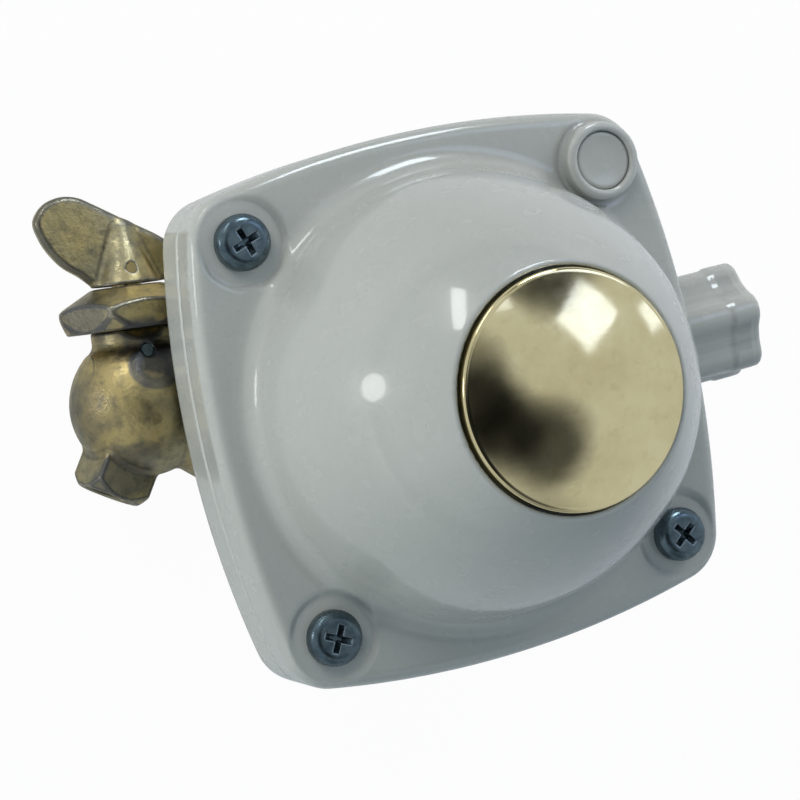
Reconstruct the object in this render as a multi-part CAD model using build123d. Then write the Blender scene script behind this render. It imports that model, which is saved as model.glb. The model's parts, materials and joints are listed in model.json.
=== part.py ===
from build123d import *
import os
from math import asin, cos, radians, sin, sqrt

# Low-pressure gas regulator: a die-cast housing in two halves with a diaphragm clamped
# between them, a brass angle cock on the inlet and a threaded outlet spigot.
# Millimetres. The sub-parts are drawn about the housing axis, +Z towards the dome and the
# parting plane at Z = 0, and are moved on export so that the origin is the centre of the
# inlet's mouth. +X runs from inlet to outlet.

# ---- Housing ------------------------------------------------------------------------
SCREW_PITCH = 68.0  # square pattern of the cover screws
CORNER_R = 8.8  # flange corner, about each screw
SIDE_BOW = 3.5  # how far the middle of a side stands out past the corners
BODY_FLANGE = 10.0  # thickness of the lower flange
BONNET_FLANGE = 8.0  # thickness of the upper flange
EDGE_R = 2.4  # rounding of the flange edges
PARTING_BEVEL = 0.5  # bevels that make the thin line between the halves
DOME_FOOT_R = 39.0  # dome where it leaves the flange
DOME_MOUTH_R = 20.7  # dome at the cap
DOME_TOP = 48.0  # height of the mouth rim
DOME_BULGE_R = 62.5  # curve of the dome's side
COVE_R = 4.0  # hollow between dome and flange
WALL = 3.2  # casting wall
BOWL_TOP_R = 37.5  # lower body under its flange
BOWL_FOOT_R = 35.0
BOWL_EDGE_R = 5.0
BODY_DEPTH = 36.5  # parting plane to the back
FLOOR_T = 5.2  # metal behind the gas chamber
LAND_R = 7.8  # spot face round each cover screw
LAND_SINK = 0.5

# ---- Diaphragm and its chamber ------------------------------------------------------
CLAMP_R = 40.3  # outer edge of the diaphragm
CHAMBER_R = 32.0  # free opening inside the clamped rim
GAS_CHAMBER_R = 30.0  # lower chamber, under the opening
GAS_LEDGE = 9.0  # depth of the wide mouth of the lower chamber
RUBBER_T = 1.2
PLATE_R = 23.6
PLATE_T = 1.2
PLATE_RIM = 2.6  # height of the plate's turned-up edge
PLATE_WEB = 1.0
CONVOLUTION_IN = 24.4
CONVOLUTION_OUT = 31.4
CONVOLUTION_RISE = 3.0
DIAPHRAGM_TRAVEL = 2.0  # each way

# ---- Stem and relief valve ----------------------------------------------------------
STEM_R = 2.0
STEM_FOOT_R = 3.0
STEM_SEAT_R = 6.0
STEM_SEAT_T = 1.8
STEM_TOP = 9.6
STEM_NECK_R = 1.3  # groove that the lever's fork straddles
NECK_GAP = 3.4  # length of that groove
NECK_Z = -17.7  # middle of the groove
STEM_FOOT_T = 2.0
RETAINER_R = 5.0
RETAINER_T = 1.2
RELIEF_WIRE_R = 0.45
RELIEF_COIL_R = 3.6
RELIEF_TURNS = 4.0
RELIEF_LIFT = 0.8

# ---- Spring adjustment and cap ------------------------------------------------------
ADJUSTER_R = 14.5
ADJUSTER_T = 8.0
ADJUSTER_TOP = 43.0
ADJUSTER_SLOT_W = 2.4  # slot for a wide screwdriver
ADJUSTER_SLOT_DEPTH = 2.6
NECK_WALL = 3.4  # wall of the tube that the adjuster screws in
NECK_FOOT = 30.0
BUTTON_R = 12.8
BUTTON_T = 2.5
BUTTON_PILOT_R = 8.8  # keeps the spring central
BUTTON_PILOT_T = 2.0
MAIN_WIRE_R = 1.2
MAIN_COIL_R = 10.4
MAIN_TURNS = 6.0
CAP_R = 19.3
CAP_SKIRT = 3.4  # skirt below the cap's rim
CAP_WALL = 1.2
CAP_RISE = 4.2
CAP_STAND = 0.9  # rim of the cap above the mouth rim
CAP_GAP = 0.45

# ---- Valve lever, plunger and nozzle ------------------------------------------------
LEVER_ARM = 15.0  # pivot to the stem, along X
LEVER_PIVOT_DROP = 6.0  # pivot below the inlet's axis
LEVER_W = 4.0
LEVER_T = 1.6
LEVER_HUB_R = 2.2
LEVER_HUB_W = 5.2
LEVER_FINGER = 6.5  # pivot to the top of the finger
LEVER_FOOT_T = 2.2
PIN_R = 1.25
LUG_T = 2.2
LUG_W = 5.0
LUG_CAP = 2.4  # lug metal above the pivot pin
FORK_SLOT = 3.4
FORK_W = 8.0
FORK_TIP = 4.6  # fork past the stem's axis
FORK_ROOT = 3.4  # slot end short of the stem's axis
PLUNGER_R = 2.5
PLUNGER_HEAD_R = 3.6
PLUNGER_HEAD_T = 3.1
PLUNGER_TAIL = 3.5  # shank past the pivot
PAD_R = 2.7
PAD_T = 1.5
PAD_SINK = 1.0
VALVE_GAP = 0.85  # pad to nozzle at rest
GUIDE_T = 2.0
GUIDE_CAP = 2.2
NOZZLE_R = 3.2
NOZZLE_HEAD_R = 5.0
NOZZLE_HEAD_T = 1.5
NOZZLE_TIP_FOOT_R = 2.56
NOZZLE_TIP_R = 2.0
NOZZLE_TIP_T = 2.4
NOZZLE_SHANK = 4.5
ORIFICE_R = 0.9

# ---- Inlet cock ---------------------------------------------------------------------
INLET_Y = 10.2  # centre of the cock's round body
INLET_Z = -23.5
BALL_R = 12.8
BOSS_R = 12.0  # inlet boss of the housing
BOSS_SPREAD = 5.0
BOSS_STAND = 0.5  # boss face proud of the bowl
COCK_REACH = 10.0  # boss face to the centre of the cock
SKIRT_R = 13.0  # foot of the cock against the boss
SKIRT_TOP_R = 9.0
SKIRT_SHIFT = 5.0  # the foot stands off to -Y
GASKET_R = 10.0
GASKET_T = 1.0
TAIL_R = 6.5  # threaded tail through the boss
PASSAGE_R = 2.3
NOSE_ANGLE = 35.0  # the nose leans back from -Y by this much
NOSE_LEN = 17.3  # centre to the mouth
NOSE_FLATS = 10.6
NOSE_CORNER_R = 0.8
NOSE_TWIST = -11.5  # turn of the flats about the nose
NOSE_END_R = 5.4  # mouth face, inside the turned corners
NOSE_TURNED = 2.0  # length of the turned end
INLET_BORE_R = 4.28
INLET_BORE_DEPTH = 9.0
FILTER_R = 3.5
FILTER_T = 0.6
SPINDLE_LEAN = 6.0  # the spindle leans from +Y towards +X
PLUG_R = 5.0
PLUG_FOOT = 3.5  # plug below the centre
PLUG_TOP = 5.7
PLUG_SUMP = 3.5  # room under the plug
SPINDLE_R = 2.6
NECK_R = 7.4  # neck that the gland screws in
NECK_TOP = 13.4
SPOT_LEAN = 32.0  # spot face of the lock screw, from +Z towards the gland
SPOT_STAND = 12.3  # centre of the cock to the spot face
PACKING_R = 5.6
PACKING_T = 2.0
GLAND_HEX_R = 13.0
GLAND_FOOT_R = 11.4
GLAND_FLARE_T = 3.0  # the hexagon's corners widen over this height
GLAND_EDGE_T = 1.0
GLAND_CONE_T = 3.6
GLAND_CONE_R = 6.3
LOCK_R = 1.1
LOCK_LEN = 2.0

# ---- Cock handle --------------------------------------------------------------------
HANDLE_GAP = 0.3  # above the gland nut
LEAF_T = 3.0
LEAF_BEVEL = 1.1
# The leaf's edge, across the spindle and above the foot, from the side away from the housing.
LEAF_START = (-6.0, 0.0)
LEAF_ROOT = (-9.9, 3.2)
LEAF_BELLY = (-14.2, 8.6)
LEAF_SIDE = (-15.0, 13.4)
LEAF_TIP = (-9.5, 16.5)
LEAF_BACK = (-2.3, 13.3)
LEAF_SHOULDER = (9.6, 4.2)
LEAF_END = (7.2, 0.0)
HUB_R = 5.8
HUB_TOP_R = 1.7
HUB_H = 11.0
SPINDLE_ENTRY = 5.6  # spindle inside the hub
HANDLE_PIN_R = 0.9
HANDLE_PIN_H = 2.7  # above the foot of the hub
HANDLE_PIN_LEN = 9.0

# ---- Outlet -------------------------------------------------------------------------
OUTLET_Y = -1.2
OUTLET_Z = -15.5
OUTLET_END = 68.0  # end of the spigot from the housing axis
LOBES = 6
LOBE_TURN = 12.0  # first lobe from +Z
LOBE_R = 3.4
SPIGOT_CORE_R = 9.4
SPIGOT_REACH = 11.0
COLLAR_CORE_R = 9.6
COLLAR_REACH = 11.3
OUTLET_COLLAR = 6.0
OUTLET_BORE_R = 5.72
OUTLET_BORE_DEPTH = 12.0
OUTLET_PASSAGE_R = 4.0

# ---- Fasteners and small pieces -----------------------------------------------------
SCREW_R = 2.5
SCREW_HEAD_R = 4.8
SCREW_HEAD_T = 3.1
SCREW_DOME_R = 1.86  # rounding of the pan head
SCREW_LEN = 13.0
SCREW_CROSS_W = 1.1
SCREW_CROSS_L = 5.0
SCREW_CROSS_DEPTH = 1.4
SEAL_COLLAR_R = 6.9  # raised collar round the sealed screw
SEAL_COLLAR_RISE = 3.2
SEAL_WELL_R = 5.2
SEAL_WELL_DEPTH = 3.0  # below the flange top
SEAL_PLUG_T = 2.4
SEAL_PLUG_SINK = 0.6
VENT_R = 1.4
VENT_SEAT_R = 2.6
VENT_SEAT_T = 1.0
VENT_SCREEN_T = 0.6
VENT_Z = 17.0
SCREEN_HOLE_R = 0.35
SCREEN_HOLES = 8  # in the ring of a perforated screen

# ---- Clearances ---------------------------------------------------------------------
RUN = 0.05  # running fit, on the radius
FIT = 0.02  # fixed fit, on the radius
EASE = 0.3  # free air beside a moving piece

# ---- Worked out from the sizes above ------------------------------------------------
HALF_PITCH = SCREW_PITCH / 2
FLANGE_REACH = HALF_PITCH + CORNER_R + SIDE_BOW
BOW_R = (HALF_PITCH**2 + (FLANGE_REACH - HALF_PITCH) ** 2 - CORNER_R**2) / (2 * SIDE_BOW)
FLOOR_Z = FLOOR_T - BODY_DEPTH
LAND_Z = BONNET_FLANGE - LAND_SINK
SEAL_FLOOR_Z = BONNET_FLANGE - SEAL_WELL_DEPTH
CAP_FLOOR_Z = DOME_TOP + CAP_STAND - CAP_SKIRT
CAP_RIM_Z = DOME_TOP + CAP_STAND
BUTTON_TOP = ADJUSTER_TOP - ADJUSTER_T
BUTTON_FOOT = BUTTON_TOP - BUTTON_T
BOSS_FACE = BOWL_TOP_R + BOSS_STAND
INLET_X = -BOSS_FACE - COCK_REACH
PIVOT_X = -LEVER_ARM
PIVOT_Z = INLET_Z - LEVER_PIVOT_DROP
VALVE_TRAVEL = DIAPHRAGM_TRAVEL * LEVER_PIVOT_DROP / LEVER_ARM
SLOT_HALF = LEVER_T / 2 + VALVE_TRAVEL / 2 + EASE
GUIDE_X = PIVOT_X - LEVER_HUB_R - EASE - GUIDE_T
HEAD_X = GUIDE_X - VALVE_TRAVEL - EASE - PLUNGER_HEAD_T
PAD_X = HEAD_X - (PAD_T - PAD_SINK)
NOZZLE_X = PAD_X - VALVE_GAP
TAIL_END_X = NOZZLE_X - NOZZLE_TIP_T - NOZZLE_HEAD_T
GLAND_EDGE_FOOT = NECK_TOP + GLAND_FLARE_T
GLAND_EDGE_TOP = GLAND_EDGE_FOOT + GLAND_EDGE_T
GLAND_TOP = GLAND_EDGE_TOP + GLAND_CONE_T
HANDLE_FOOT = GLAND_TOP + HANDLE_GAP
PACKING_FOOT = PLUG_TOP + EASE
BALL = Vector(INLET_X, INLET_Y, INLET_Z)
NOSE_WAY = Vector(-sin(radians(NOSE_ANGLE)), -cos(radians(NOSE_ANGLE)), 0)
MOUTH = BALL + NOSE_WAY * NOSE_LEN
SPINDLE_WAY = Vector(sin(radians(SPINDLE_LEAN)), cos(radians(SPINDLE_LEAN)), 0)
SPINDLE_SIDE = Vector(cos(radians(SPINDLE_LEAN)), -sin(radians(SPINDLE_LEAN)), 0)
SPOT_WAY = SPINDLE_WAY * sin(radians(SPOT_LEAN)) + Vector(0, 0, cos(radians(SPOT_LEAN)))
# Spindle frame: local z along the spindle, local x across it, in the plane of the cock.
SPINDLE = Plane(origin=BALL, x_dir=SPINDLE_SIDE, z_dir=SPINDLE_WAY)
X_WAY = Vector(1, 0, 0)
STANDING = (Align.CENTER, Align.CENTER, Align.MIN)
SCREW_PLACES = [
    (-HALF_PITCH, HALF_PITCH),
    (-HALF_PITCH, -HALF_PITCH),
    (HALF_PITCH, -HALF_PITCH),
]
SEAL_PLACE = (HALF_PITCH, HALF_PITCH)


# ---- Helpers ------------------------------------------------------------------------
def rod(start, way, radius, length):
    """Round bar from a point along a direction."""
    return Plane(origin=start, z_dir=way) * Cylinder(radius, length, align=STANDING)


def disc(radius, foot, top):
    """Round bar on the housing axis between two heights."""
    return Pos(0, 0, foot) * Cylinder(radius, top - foot, align=STANDING)


def block(low, high):
    """Box between two opposite corners."""
    size = [b - a for a, b in zip(low, high)]
    corner = Pos(*low)
    return corner * Box(*size, align=(Align.MIN, Align.MIN, Align.MIN))


def on_spindle(radius, foot, top):
    """Round bar on the spindle's axis between two distances from the cock's centre."""
    return SPINDLE * Pos(0, 0, foot) * Cylinder(radius, top - foot, align=STANDING)


def turned(*lines):
    """Solid of revolution about Z from lines drawn as (radius, height)."""
    edges = [edge for line in lines for edge in line.edges()]
    return revolve(Plane.XZ * make_face(edges), Axis.Z)


def coil_spring(foot, top, coil_r, wire_r, turns):
    """Open-ended compression spring on the housing axis."""
    rise = top - foot - 2 * wire_r
    path = Pos(0, 0, foot + wire_r) * Helix(rise / turns, rise, coil_r)
    wire = Plane(origin=path @ 0, z_dir=path % 0) * Circle(wire_r)
    return sweep(wire, path=path, is_frenet=True)


def flange_outline():
    """Square with bowed sides and a round corner about each screw."""
    way = Vector(HALF_PITCH - FLANGE_REACH + BOW_R, HALF_PITCH) / (BOW_R - CORNER_R)
    join = Vector(FLANGE_REACH - BOW_R, 0) + way * BOW_R
    tip = HALF_PITCH + CORNER_R * sqrt(0.5)
    side = ThreePointArc((join.X, -join.Y), (FLANGE_REACH, 0), (join.X, join.Y))
    corner = ThreePointArc((join.X, join.Y), (tip, tip), (join.Y, join.X))
    edges = []
    for quarter in range(4):
        turn = Rot(0, 0, 90 * quarter)
        edges += [turn * side, turn * corner]
    return make_face([edge for line in edges for edge in line.edges()])


def perforated(start, way, radius, thick):
    """Round screen with one hole in the middle and a ring of holes about it."""
    face = Plane(origin=start, z_dir=way)
    places = PolarLocations((radius + SCREEN_HOLE_R) / 2, SCREEN_HOLES)
    ring = [place * Circle(SCREEN_HOLE_R) for place in places]
    section = Circle(radius) - ring - Circle(SCREEN_HOLE_R)
    return extrude(face * section, amount=thick)


def screw_bores(foot, top, radius):
    """Round bars at the four cover screws."""
    places = SCREW_PLACES + [SEAL_PLACE]
    return [Pos(x, y, foot) * Cylinder(radius, top - foot, align=STANDING) for x, y in places]


def lobed_bar(core_r, reach, start, length):
    """Bar along +X with round lobes, gripped by a spanner."""
    ring_r = reach - LOBE_R
    first = 90 - LOBE_TURN
    lobes = [place * Circle(LOBE_R) for place in PolarLocations(ring_r, LOBES, first)]
    section = Circle(core_r) + lobes
    plane = Plane(origin=(start, OUTLET_Y, OUTLET_Z), x_dir=(0, 1, 0), z_dir=(1, 0, 0))
    return extrude(plane * section, amount=length)


# ---- Bonnet, the upper half ---------------------------------------------------------
def bonnet_outside():
    """Flange, dome with its hollow foot, screw lands and the collar of the sealed screw."""
    plate = extrude(flange_outline(), amount=BONNET_FLANGE)
    plate = fillet(plate.faces().sort_by(Axis.Z)[-1].edges(), EDGE_R)
    plate = chamfer(plate.faces().sort_by(Axis.Z)[0].edges(), PARTING_BEVEL)
    foot_r = DOME_FOOT_R + COVE_R + EASE
    rim_z = DOME_TOP - PARTING_BEVEL
    skirt = Polyline(
        (0, EDGE_R), (foot_r, EDGE_R), (foot_r, BONNET_FLANGE), (DOME_FOOT_R, BONNET_FLANGE)
    )
    side = RadiusArc((DOME_FOOT_R, BONNET_FLANGE), (DOME_MOUTH_R, rim_z), -DOME_BULGE_R)
    crown = Polyline(
        (DOME_MOUTH_R, rim_z), (DOME_MOUTH_R - PARTING_BEVEL, DOME_TOP), (0, DOME_TOP), (0, EDGE_R)
    )
    dome = turned(skirt, side, crown)
    foot = dome.edges().filter_by(GeomType.CIRCLE).filter_by(
        lambda e: abs(e.radius - DOME_FOOT_R) < 0.01 and e.center().Z > EDGE_R
    )
    dome = fillet(foot, COVE_R)
    body = plate + dome
    body -= screw_bores(LAND_Z, DOME_TOP, LAND_R)
    seal = Pos(*SEAL_PLACE, LAND_Z) * Cylinder(
        SEAL_COLLAR_R, LAND_SINK + SEAL_COLLAR_RISE, align=STANDING
    )
    seal = fillet(seal.edges().sort_by(Axis.Z)[-1], PARTING_BEVEL)
    return body + seal


def bonnet_inside():
    """Room for the spring and the diaphragm, drawn as the metal that is left out."""
    neck_r = ADJUSTER_R + NECK_WALL
    roof_z = CAP_FLOOR_Z - WALL
    ledge_z = BONNET_FLANGE + WALL / 2
    slope = RadiusArc(
        (DOME_FOOT_R - WALL, ledge_z), (neck_r + WALL, roof_z - WALL), -DOME_BULGE_R
    )
    lower = Polyline((0, 0), (CHAMBER_R, 0), (CHAMBER_R, ledge_z - WALL), (DOME_FOOT_R - WALL, ledge_z))
    upper = Polyline(
        (neck_r + WALL, roof_z - WALL), (neck_r, roof_z), (neck_r, NECK_FOOT), (0, NECK_FOOT), (0, 0)
    )
    return turned(lower, slope, upper)


def bonnet():
    body = bonnet_outside() - bonnet_inside()
    body -= disc(ADJUSTER_R + RUN, 0, DOME_TOP)
    body -= disc(CAP_R + CAP_GAP, CAP_FLOOR_Z, DOME_TOP)
    body -= screw_bores(0, DOME_TOP, SCREW_R + FIT)
    body -= Pos(*SEAL_PLACE, SEAL_FLOOR_Z) * Cylinder(SEAL_WELL_R, DOME_TOP, align=STANDING)
    body -= rod((0, 0, VENT_Z), X_WAY, VENT_R, DOME_FOOT_R)
    body -= rod((vent_seat_x(), 0, VENT_Z), X_WAY, VENT_SEAT_R, DOME_FOOT_R)
    return body


def vent_seat_x():
    """Floor of the vent's counterbore, a set depth under the dome's side."""
    drop = VENT_Z - BONNET_FLANGE
    chord = sqrt((DOME_FOOT_R - DOME_MOUTH_R) ** 2 + (DOME_TOP - BONNET_FLANGE) ** 2)
    lean = asin(chord / 2 / DOME_BULGE_R)
    tilt = asin((DOME_FOOT_R - DOME_MOUTH_R) / chord) - lean
    centre_x = DOME_FOOT_R - DOME_BULGE_R * cos(tilt)
    centre_z = BONNET_FLANGE - DOME_BULGE_R * sin(tilt)
    rise = BONNET_FLANGE + drop - centre_z
    return centre_x + sqrt(DOME_BULGE_R**2 - rise**2) - VENT_SEAT_T


def vent_screen():
    return perforated((vent_seat_x(), 0, VENT_Z), X_WAY, VENT_SEAT_R - FIT, VENT_SCREEN_T)


# ---- Lower body ---------------------------------------------------------------------
def body_outside():
    """Flange, bowl, inlet boss and the outlet's lobed spigot."""
    plate = Pos(0, 0, -BODY_FLANGE) * extrude(flange_outline(), amount=BODY_FLANGE)
    plate = fillet(plate.faces().sort_by(Axis.Z)[0].edges(), EDGE_R)
    plate = chamfer(plate.faces().sort_by(Axis.Z)[-1].edges(), PARTING_BEVEL)
    bowl = turned(
        Polyline(
            (0, -BODY_FLANGE / 2),
            (BOWL_TOP_R, -BODY_FLANGE / 2),
            (BOWL_TOP_R, -BODY_FLANGE),
            (BOWL_FOOT_R, -BODY_DEPTH),
            (0, -BODY_DEPTH),
            (0, -BODY_FLANGE / 2),
        )
    )
    bowl = fillet(bowl.edges().sort_by(Axis.Z)[0], BOWL_EDGE_R)
    start = (-BOSS_FACE, INLET_Y - BOSS_SPREAD / 2, INLET_Z)
    face = Plane(origin=start, x_dir=(0, 1, 0), z_dir=(1, 0, 0))
    section = face * SlotCenterToCenter(BOSS_SPREAD, 2 * BOSS_R)
    boss = extrude(section, amount=BOSS_FACE - GAS_CHAMBER_R / 2)
    spigot = lobed_bar(SPIGOT_CORE_R, SPIGOT_REACH, GAS_CHAMBER_R, OUTLET_END - GAS_CHAMBER_R)
    collar = lobed_bar(COLLAR_CORE_R, COLLAR_REACH, OUTLET_END - OUTLET_COLLAR, OUTLET_COLLAR)
    collar = chamfer(collar.faces().sort_by(Axis.X)[-1].edges(), PARTING_BEVEL)
    return plate + bowl + boss + spigot + collar


def gas_chamber():
    """Stepped room under the diaphragm, drawn as the metal that is left out."""
    return (
        disc(CLAMP_R + FIT, -RUBBER_T, 0)
        + disc(CHAMBER_R, -GAS_LEDGE, 0)
        + disc(GAS_CHAMBER_R, FLOOR_Z, 0)
    )


def lever_lugs():
    """Two cast lugs that carry the pivot pin, and the plunger's guide."""
    inner = LEVER_HUB_W / 2 + EASE
    lugs = []
    for side in (-1, 1):
        near = INLET_Y + side * inner
        far = INLET_Y + side * (inner + LUG_T)
        low = (PIVOT_X - LUG_W / 2, min(near, far), FLOOR_Z - WALL / 2)
        high = (PIVOT_X + LUG_W / 2, max(near, far), PIVOT_Z + LUG_CAP)
        lugs.append(block(low, high))
    half = PLUNGER_R + GUIDE_CAP
    guide = block(
        (GUIDE_X, INLET_Y - half, FLOOR_Z - WALL / 2),
        (GUIDE_X + GUIDE_T, INLET_Y + half, INLET_Z + PLUNGER_R + GUIDE_CAP),
    )
    return lugs + [guide]


def lever_channel():
    """Channel in the floor that the lever's hub and foot swing in."""
    half = LEVER_HUB_W / 2 + EASE
    reach = LEVER_ARM - FORK_ROOT - 2 * LEVER_T + LEVER_FOOT_T
    dip = LEVER_FOOT_T / 2 + reach * DIAPHRAGM_TRAVEL / LEVER_ARM
    foot = PIVOT_Z - max(dip, LEVER_HUB_R) - EASE
    low = (PIVOT_X - LEVER_HUB_R - EASE, INLET_Y - half, foot)
    return block(low, (FORK_TIP, INLET_Y + half, NECK_Z))


def lower_body():
    body = body_outside() - gas_chamber()
    body += lever_lugs()
    body -= lever_channel()
    bore_start = (-BOSS_FACE, INLET_Y, INLET_Z)
    body -= rod(bore_start, X_WAY, TAIL_R + FIT, BOSS_FACE + GUIDE_X - EASE)
    body -= rod((GUIDE_X - EASE, INLET_Y, INLET_Z), X_WAY, PLUNGER_R + RUN, GUIDE_T + 2 * EASE)
    pin_half = pin_length() / 2
    body -= rod((PIVOT_X, INLET_Y + pin_half, PIVOT_Z), Vector(0, -1, 0), PIN_R + FIT, 2 * pin_half)
    mouth = Vector(OUTLET_END, OUTLET_Y, OUTLET_Z)
    body -= rod(mouth, -X_WAY, OUTLET_BORE_R, OUTLET_BORE_DEPTH)
    body -= rod(mouth, -X_WAY, OUTLET_PASSAGE_R, OUTLET_END - GAS_CHAMBER_R + WALL)
    body -= screw_bores(LAND_Z - SCREW_LEN, 0, SCREW_R + FIT)
    seal_foot = SEAL_FLOOR_Z - SCREW_LEN
    body -= Pos(*SEAL_PLACE, seal_foot) * Cylinder(SCREW_R + FIT, SCREW_LEN, align=STANDING)
    return body


# ---- Diaphragm, plate, stem and relief valve ----------------------------------------
def diaphragm():
    """Moulded rubber disc with one convolution, clamped at its rim."""
    middle = (CONVOLUTION_IN + CONVOLUTION_OUT) / 2
    hole = STEM_R + RUN
    under = [
        Line((CLAMP_R, 0), (CLAMP_R, -RUBBER_T)),
        Line((CLAMP_R, -RUBBER_T), (CONVOLUTION_OUT, -RUBBER_T)),
        ThreePointArc(
            (CONVOLUTION_OUT, -RUBBER_T),
            (middle, CONVOLUTION_RISE - RUBBER_T),
            (CONVOLUTION_IN, -RUBBER_T),
        ),
        Line((CONVOLUTION_IN, -RUBBER_T), (hole, -RUBBER_T)),
    ]
    over = [
        Line((hole, -RUBBER_T), (hole, 0)),
        Line((hole, 0), (CONVOLUTION_IN - PLATE_WEB / 2, 0)),
        ThreePointArc(
            (CONVOLUTION_IN - PLATE_WEB / 2, 0),
            (middle, CONVOLUTION_RISE),
            (CONVOLUTION_OUT + PLATE_WEB / 2, 0),
        ),
        Line((CONVOLUTION_OUT + PLATE_WEB / 2, 0), (CLAMP_R, 0)),
    ]
    return turned(*under, *over)


def diaphragm_plate():
    """Pressed plate with a turned-up edge, under the main spring."""
    hole = STEM_R + RUN
    inner = PLATE_R - PLATE_WEB
    return turned(
        Polyline(
            (hole, 0),
            (PLATE_R, 0),
            (PLATE_R, PLATE_RIM),
            (inner, PLATE_RIM),
            (inner, PLATE_T),
            (hole, PLATE_T),
            (hole, 0),
        )
    )


def diaphragm_stem():
    """Stem through the diaphragm: relief seat, shank, and a groove for the fork."""
    seat_top = -RUBBER_T
    groove_top = NECK_Z + NECK_GAP / 2
    groove_foot = NECK_Z - NECK_GAP / 2
    return (
        disc(STEM_R, seat_top - STEM_SEAT_T, STEM_TOP)
        + disc(STEM_SEAT_R, seat_top - STEM_SEAT_T, seat_top)
        + disc(STEM_FOOT_R, groove_top, seat_top - STEM_SEAT_T)
        + disc(STEM_NECK_R, groove_foot, groove_top)
        + disc(STEM_FOOT_R, groove_foot - STEM_FOOT_T, groove_foot)
    )


def relief_retainer():
    foot = STEM_TOP - 2 * RETAINER_T
    return disc(RETAINER_R, foot, foot + RETAINER_T) - disc(STEM_R + FIT, foot, STEM_TOP)


def relief_spring():
    top = STEM_TOP - 2 * RETAINER_T
    return coil_spring(PLATE_T, top, RELIEF_COIL_R, RELIEF_WIRE_R, RELIEF_TURNS)


# ---- Main spring, button, adjuster and cap ------------------------------------------
def main_spring():
    return coil_spring(PLATE_T, BUTTON_FOOT, MAIN_COIL_R, MAIN_WIRE_R, MAIN_TURNS)


def spring_button():
    """Upper spring seat with a pilot that fits inside the coil."""
    plate = disc(BUTTON_R, BUTTON_FOOT, BUTTON_TOP)
    return plate + disc(BUTTON_PILOT_R, BUTTON_FOOT - BUTTON_PILOT_T, BUTTON_FOOT)


def adjusting_screw():
    """Screwed disc with a driver slot, above the button."""
    body = disc(ADJUSTER_R, BUTTON_TOP, ADJUSTER_TOP)
    body = chamfer(body.edges().group_by(Axis.Z)[-1], PARTING_BEVEL)
    half = ADJUSTER_SLOT_W / 2
    low = (-ADJUSTER_R, -half, ADJUSTER_TOP - ADJUSTER_SLOT_DEPTH)
    return body - block(low, (ADJUSTER_R, half, ADJUSTER_TOP))


def cap():
    """Domed brass cap, hollow, with a skirt that pushes in the mouth."""
    inner = CAP_R - CAP_WALL
    half = CAP_R * sqrt(0.5)
    crown_r = (CAP_R**2 + CAP_RISE**2) / (2 * CAP_RISE)
    crown_z = CAP_RIM_Z + CAP_RISE - crown_r
    over = ThreePointArc(
        (CAP_R, CAP_RIM_Z), (half, crown_z + sqrt(crown_r**2 - half**2)), (0, CAP_RIM_Z + CAP_RISE)
    )
    shell_r = crown_r - CAP_WALL
    under = ThreePointArc(
        (0, crown_z + shell_r),
        (half, crown_z + sqrt(shell_r**2 - half**2)),
        (inner, crown_z + sqrt(shell_r**2 - inner**2)),
    )
    skirt = Polyline(
        (inner, crown_z + sqrt(shell_r**2 - inner**2)),
        (inner, CAP_FLOOR_Z),
        (CAP_R, CAP_FLOOR_Z),
        (CAP_R, CAP_RIM_Z),
    )
    middle = Line((0, CAP_RIM_Z + CAP_RISE), (0, crown_z + shell_r))
    body = turned(over, middle, under, skirt)
    rim = body.edges().filter_by(GeomType.CIRCLE).filter_by(
        lambda e: abs(e.radius - CAP_R) < 0.01 and abs(e.center().Z - CAP_RIM_Z) < 0.01
    )
    return fillet(rim, CAP_WALL / 2)


# ---- Lever, plunger and nozzle ------------------------------------------------------
def pin_length():
    return LEVER_HUB_W + 2 * (EASE + LUG_T)


def lever_pivot_pin():
    start = (PIVOT_X, INLET_Y + pin_length() / 2, PIVOT_Z)
    return rod(start, Vector(0, -1, 0), PIN_R, pin_length())


def lever_bar():
    """L-shaped bar in the plane of the plunger: foot, riser and finger."""
    rise_x = -FORK_ROOT - 2 * LEVER_T
    foot_half = LEVER_FOOT_T / 2
    top = NECK_Z + LEVER_T / 2
    bar = Polygon(
        (PIVOT_X, PIVOT_Z - foot_half),
        (rise_x + LEVER_FOOT_T, PIVOT_Z - foot_half),
        (rise_x + LEVER_FOOT_T, top),
        (rise_x, top),
        (rise_x, PIVOT_Z + foot_half),
        (PIVOT_X, PIVOT_Z + foot_half),
        align=None,
    )
    finger = Pos(PIVOT_X, PIVOT_Z + LEVER_FINGER / 2) * Rectangle(LEVER_T, LEVER_FINGER)
    return Pos(0, INLET_Y, 0) * extrude(Plane.XZ * (bar + finger), amount=LEVER_W / 2, both=True)


def valve_lever():
    """Bent lever: hub on the pin, finger in the plunger, fork round the stem."""
    low = NECK_Z - LEVER_T / 2
    high = NECK_Z + LEVER_T / 2
    rise_x = -FORK_ROOT - 2 * LEVER_T
    cross = block((rise_x, -FORK_W / 2, low), (-FORK_ROOT, INLET_Y + LEVER_W / 2, high))
    fork = block((rise_x, -FORK_W / 2, low), (FORK_TIP, FORK_W / 2, high))
    slot = block((-FORK_ROOT, -FORK_SLOT / 2, low), (FORK_TIP, FORK_SLOT / 2, high))
    hub_start = (PIVOT_X, INLET_Y + LEVER_HUB_W / 2, PIVOT_Z)
    hub = rod(hub_start, Vector(0, -1, 0), LEVER_HUB_R, LEVER_HUB_W)
    bore = rod(hub_start, Vector(0, -1, 0), PIN_R + RUN, LEVER_HUB_W)
    return lever_bar() + cross + (fork - slot) + hub - bore


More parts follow.
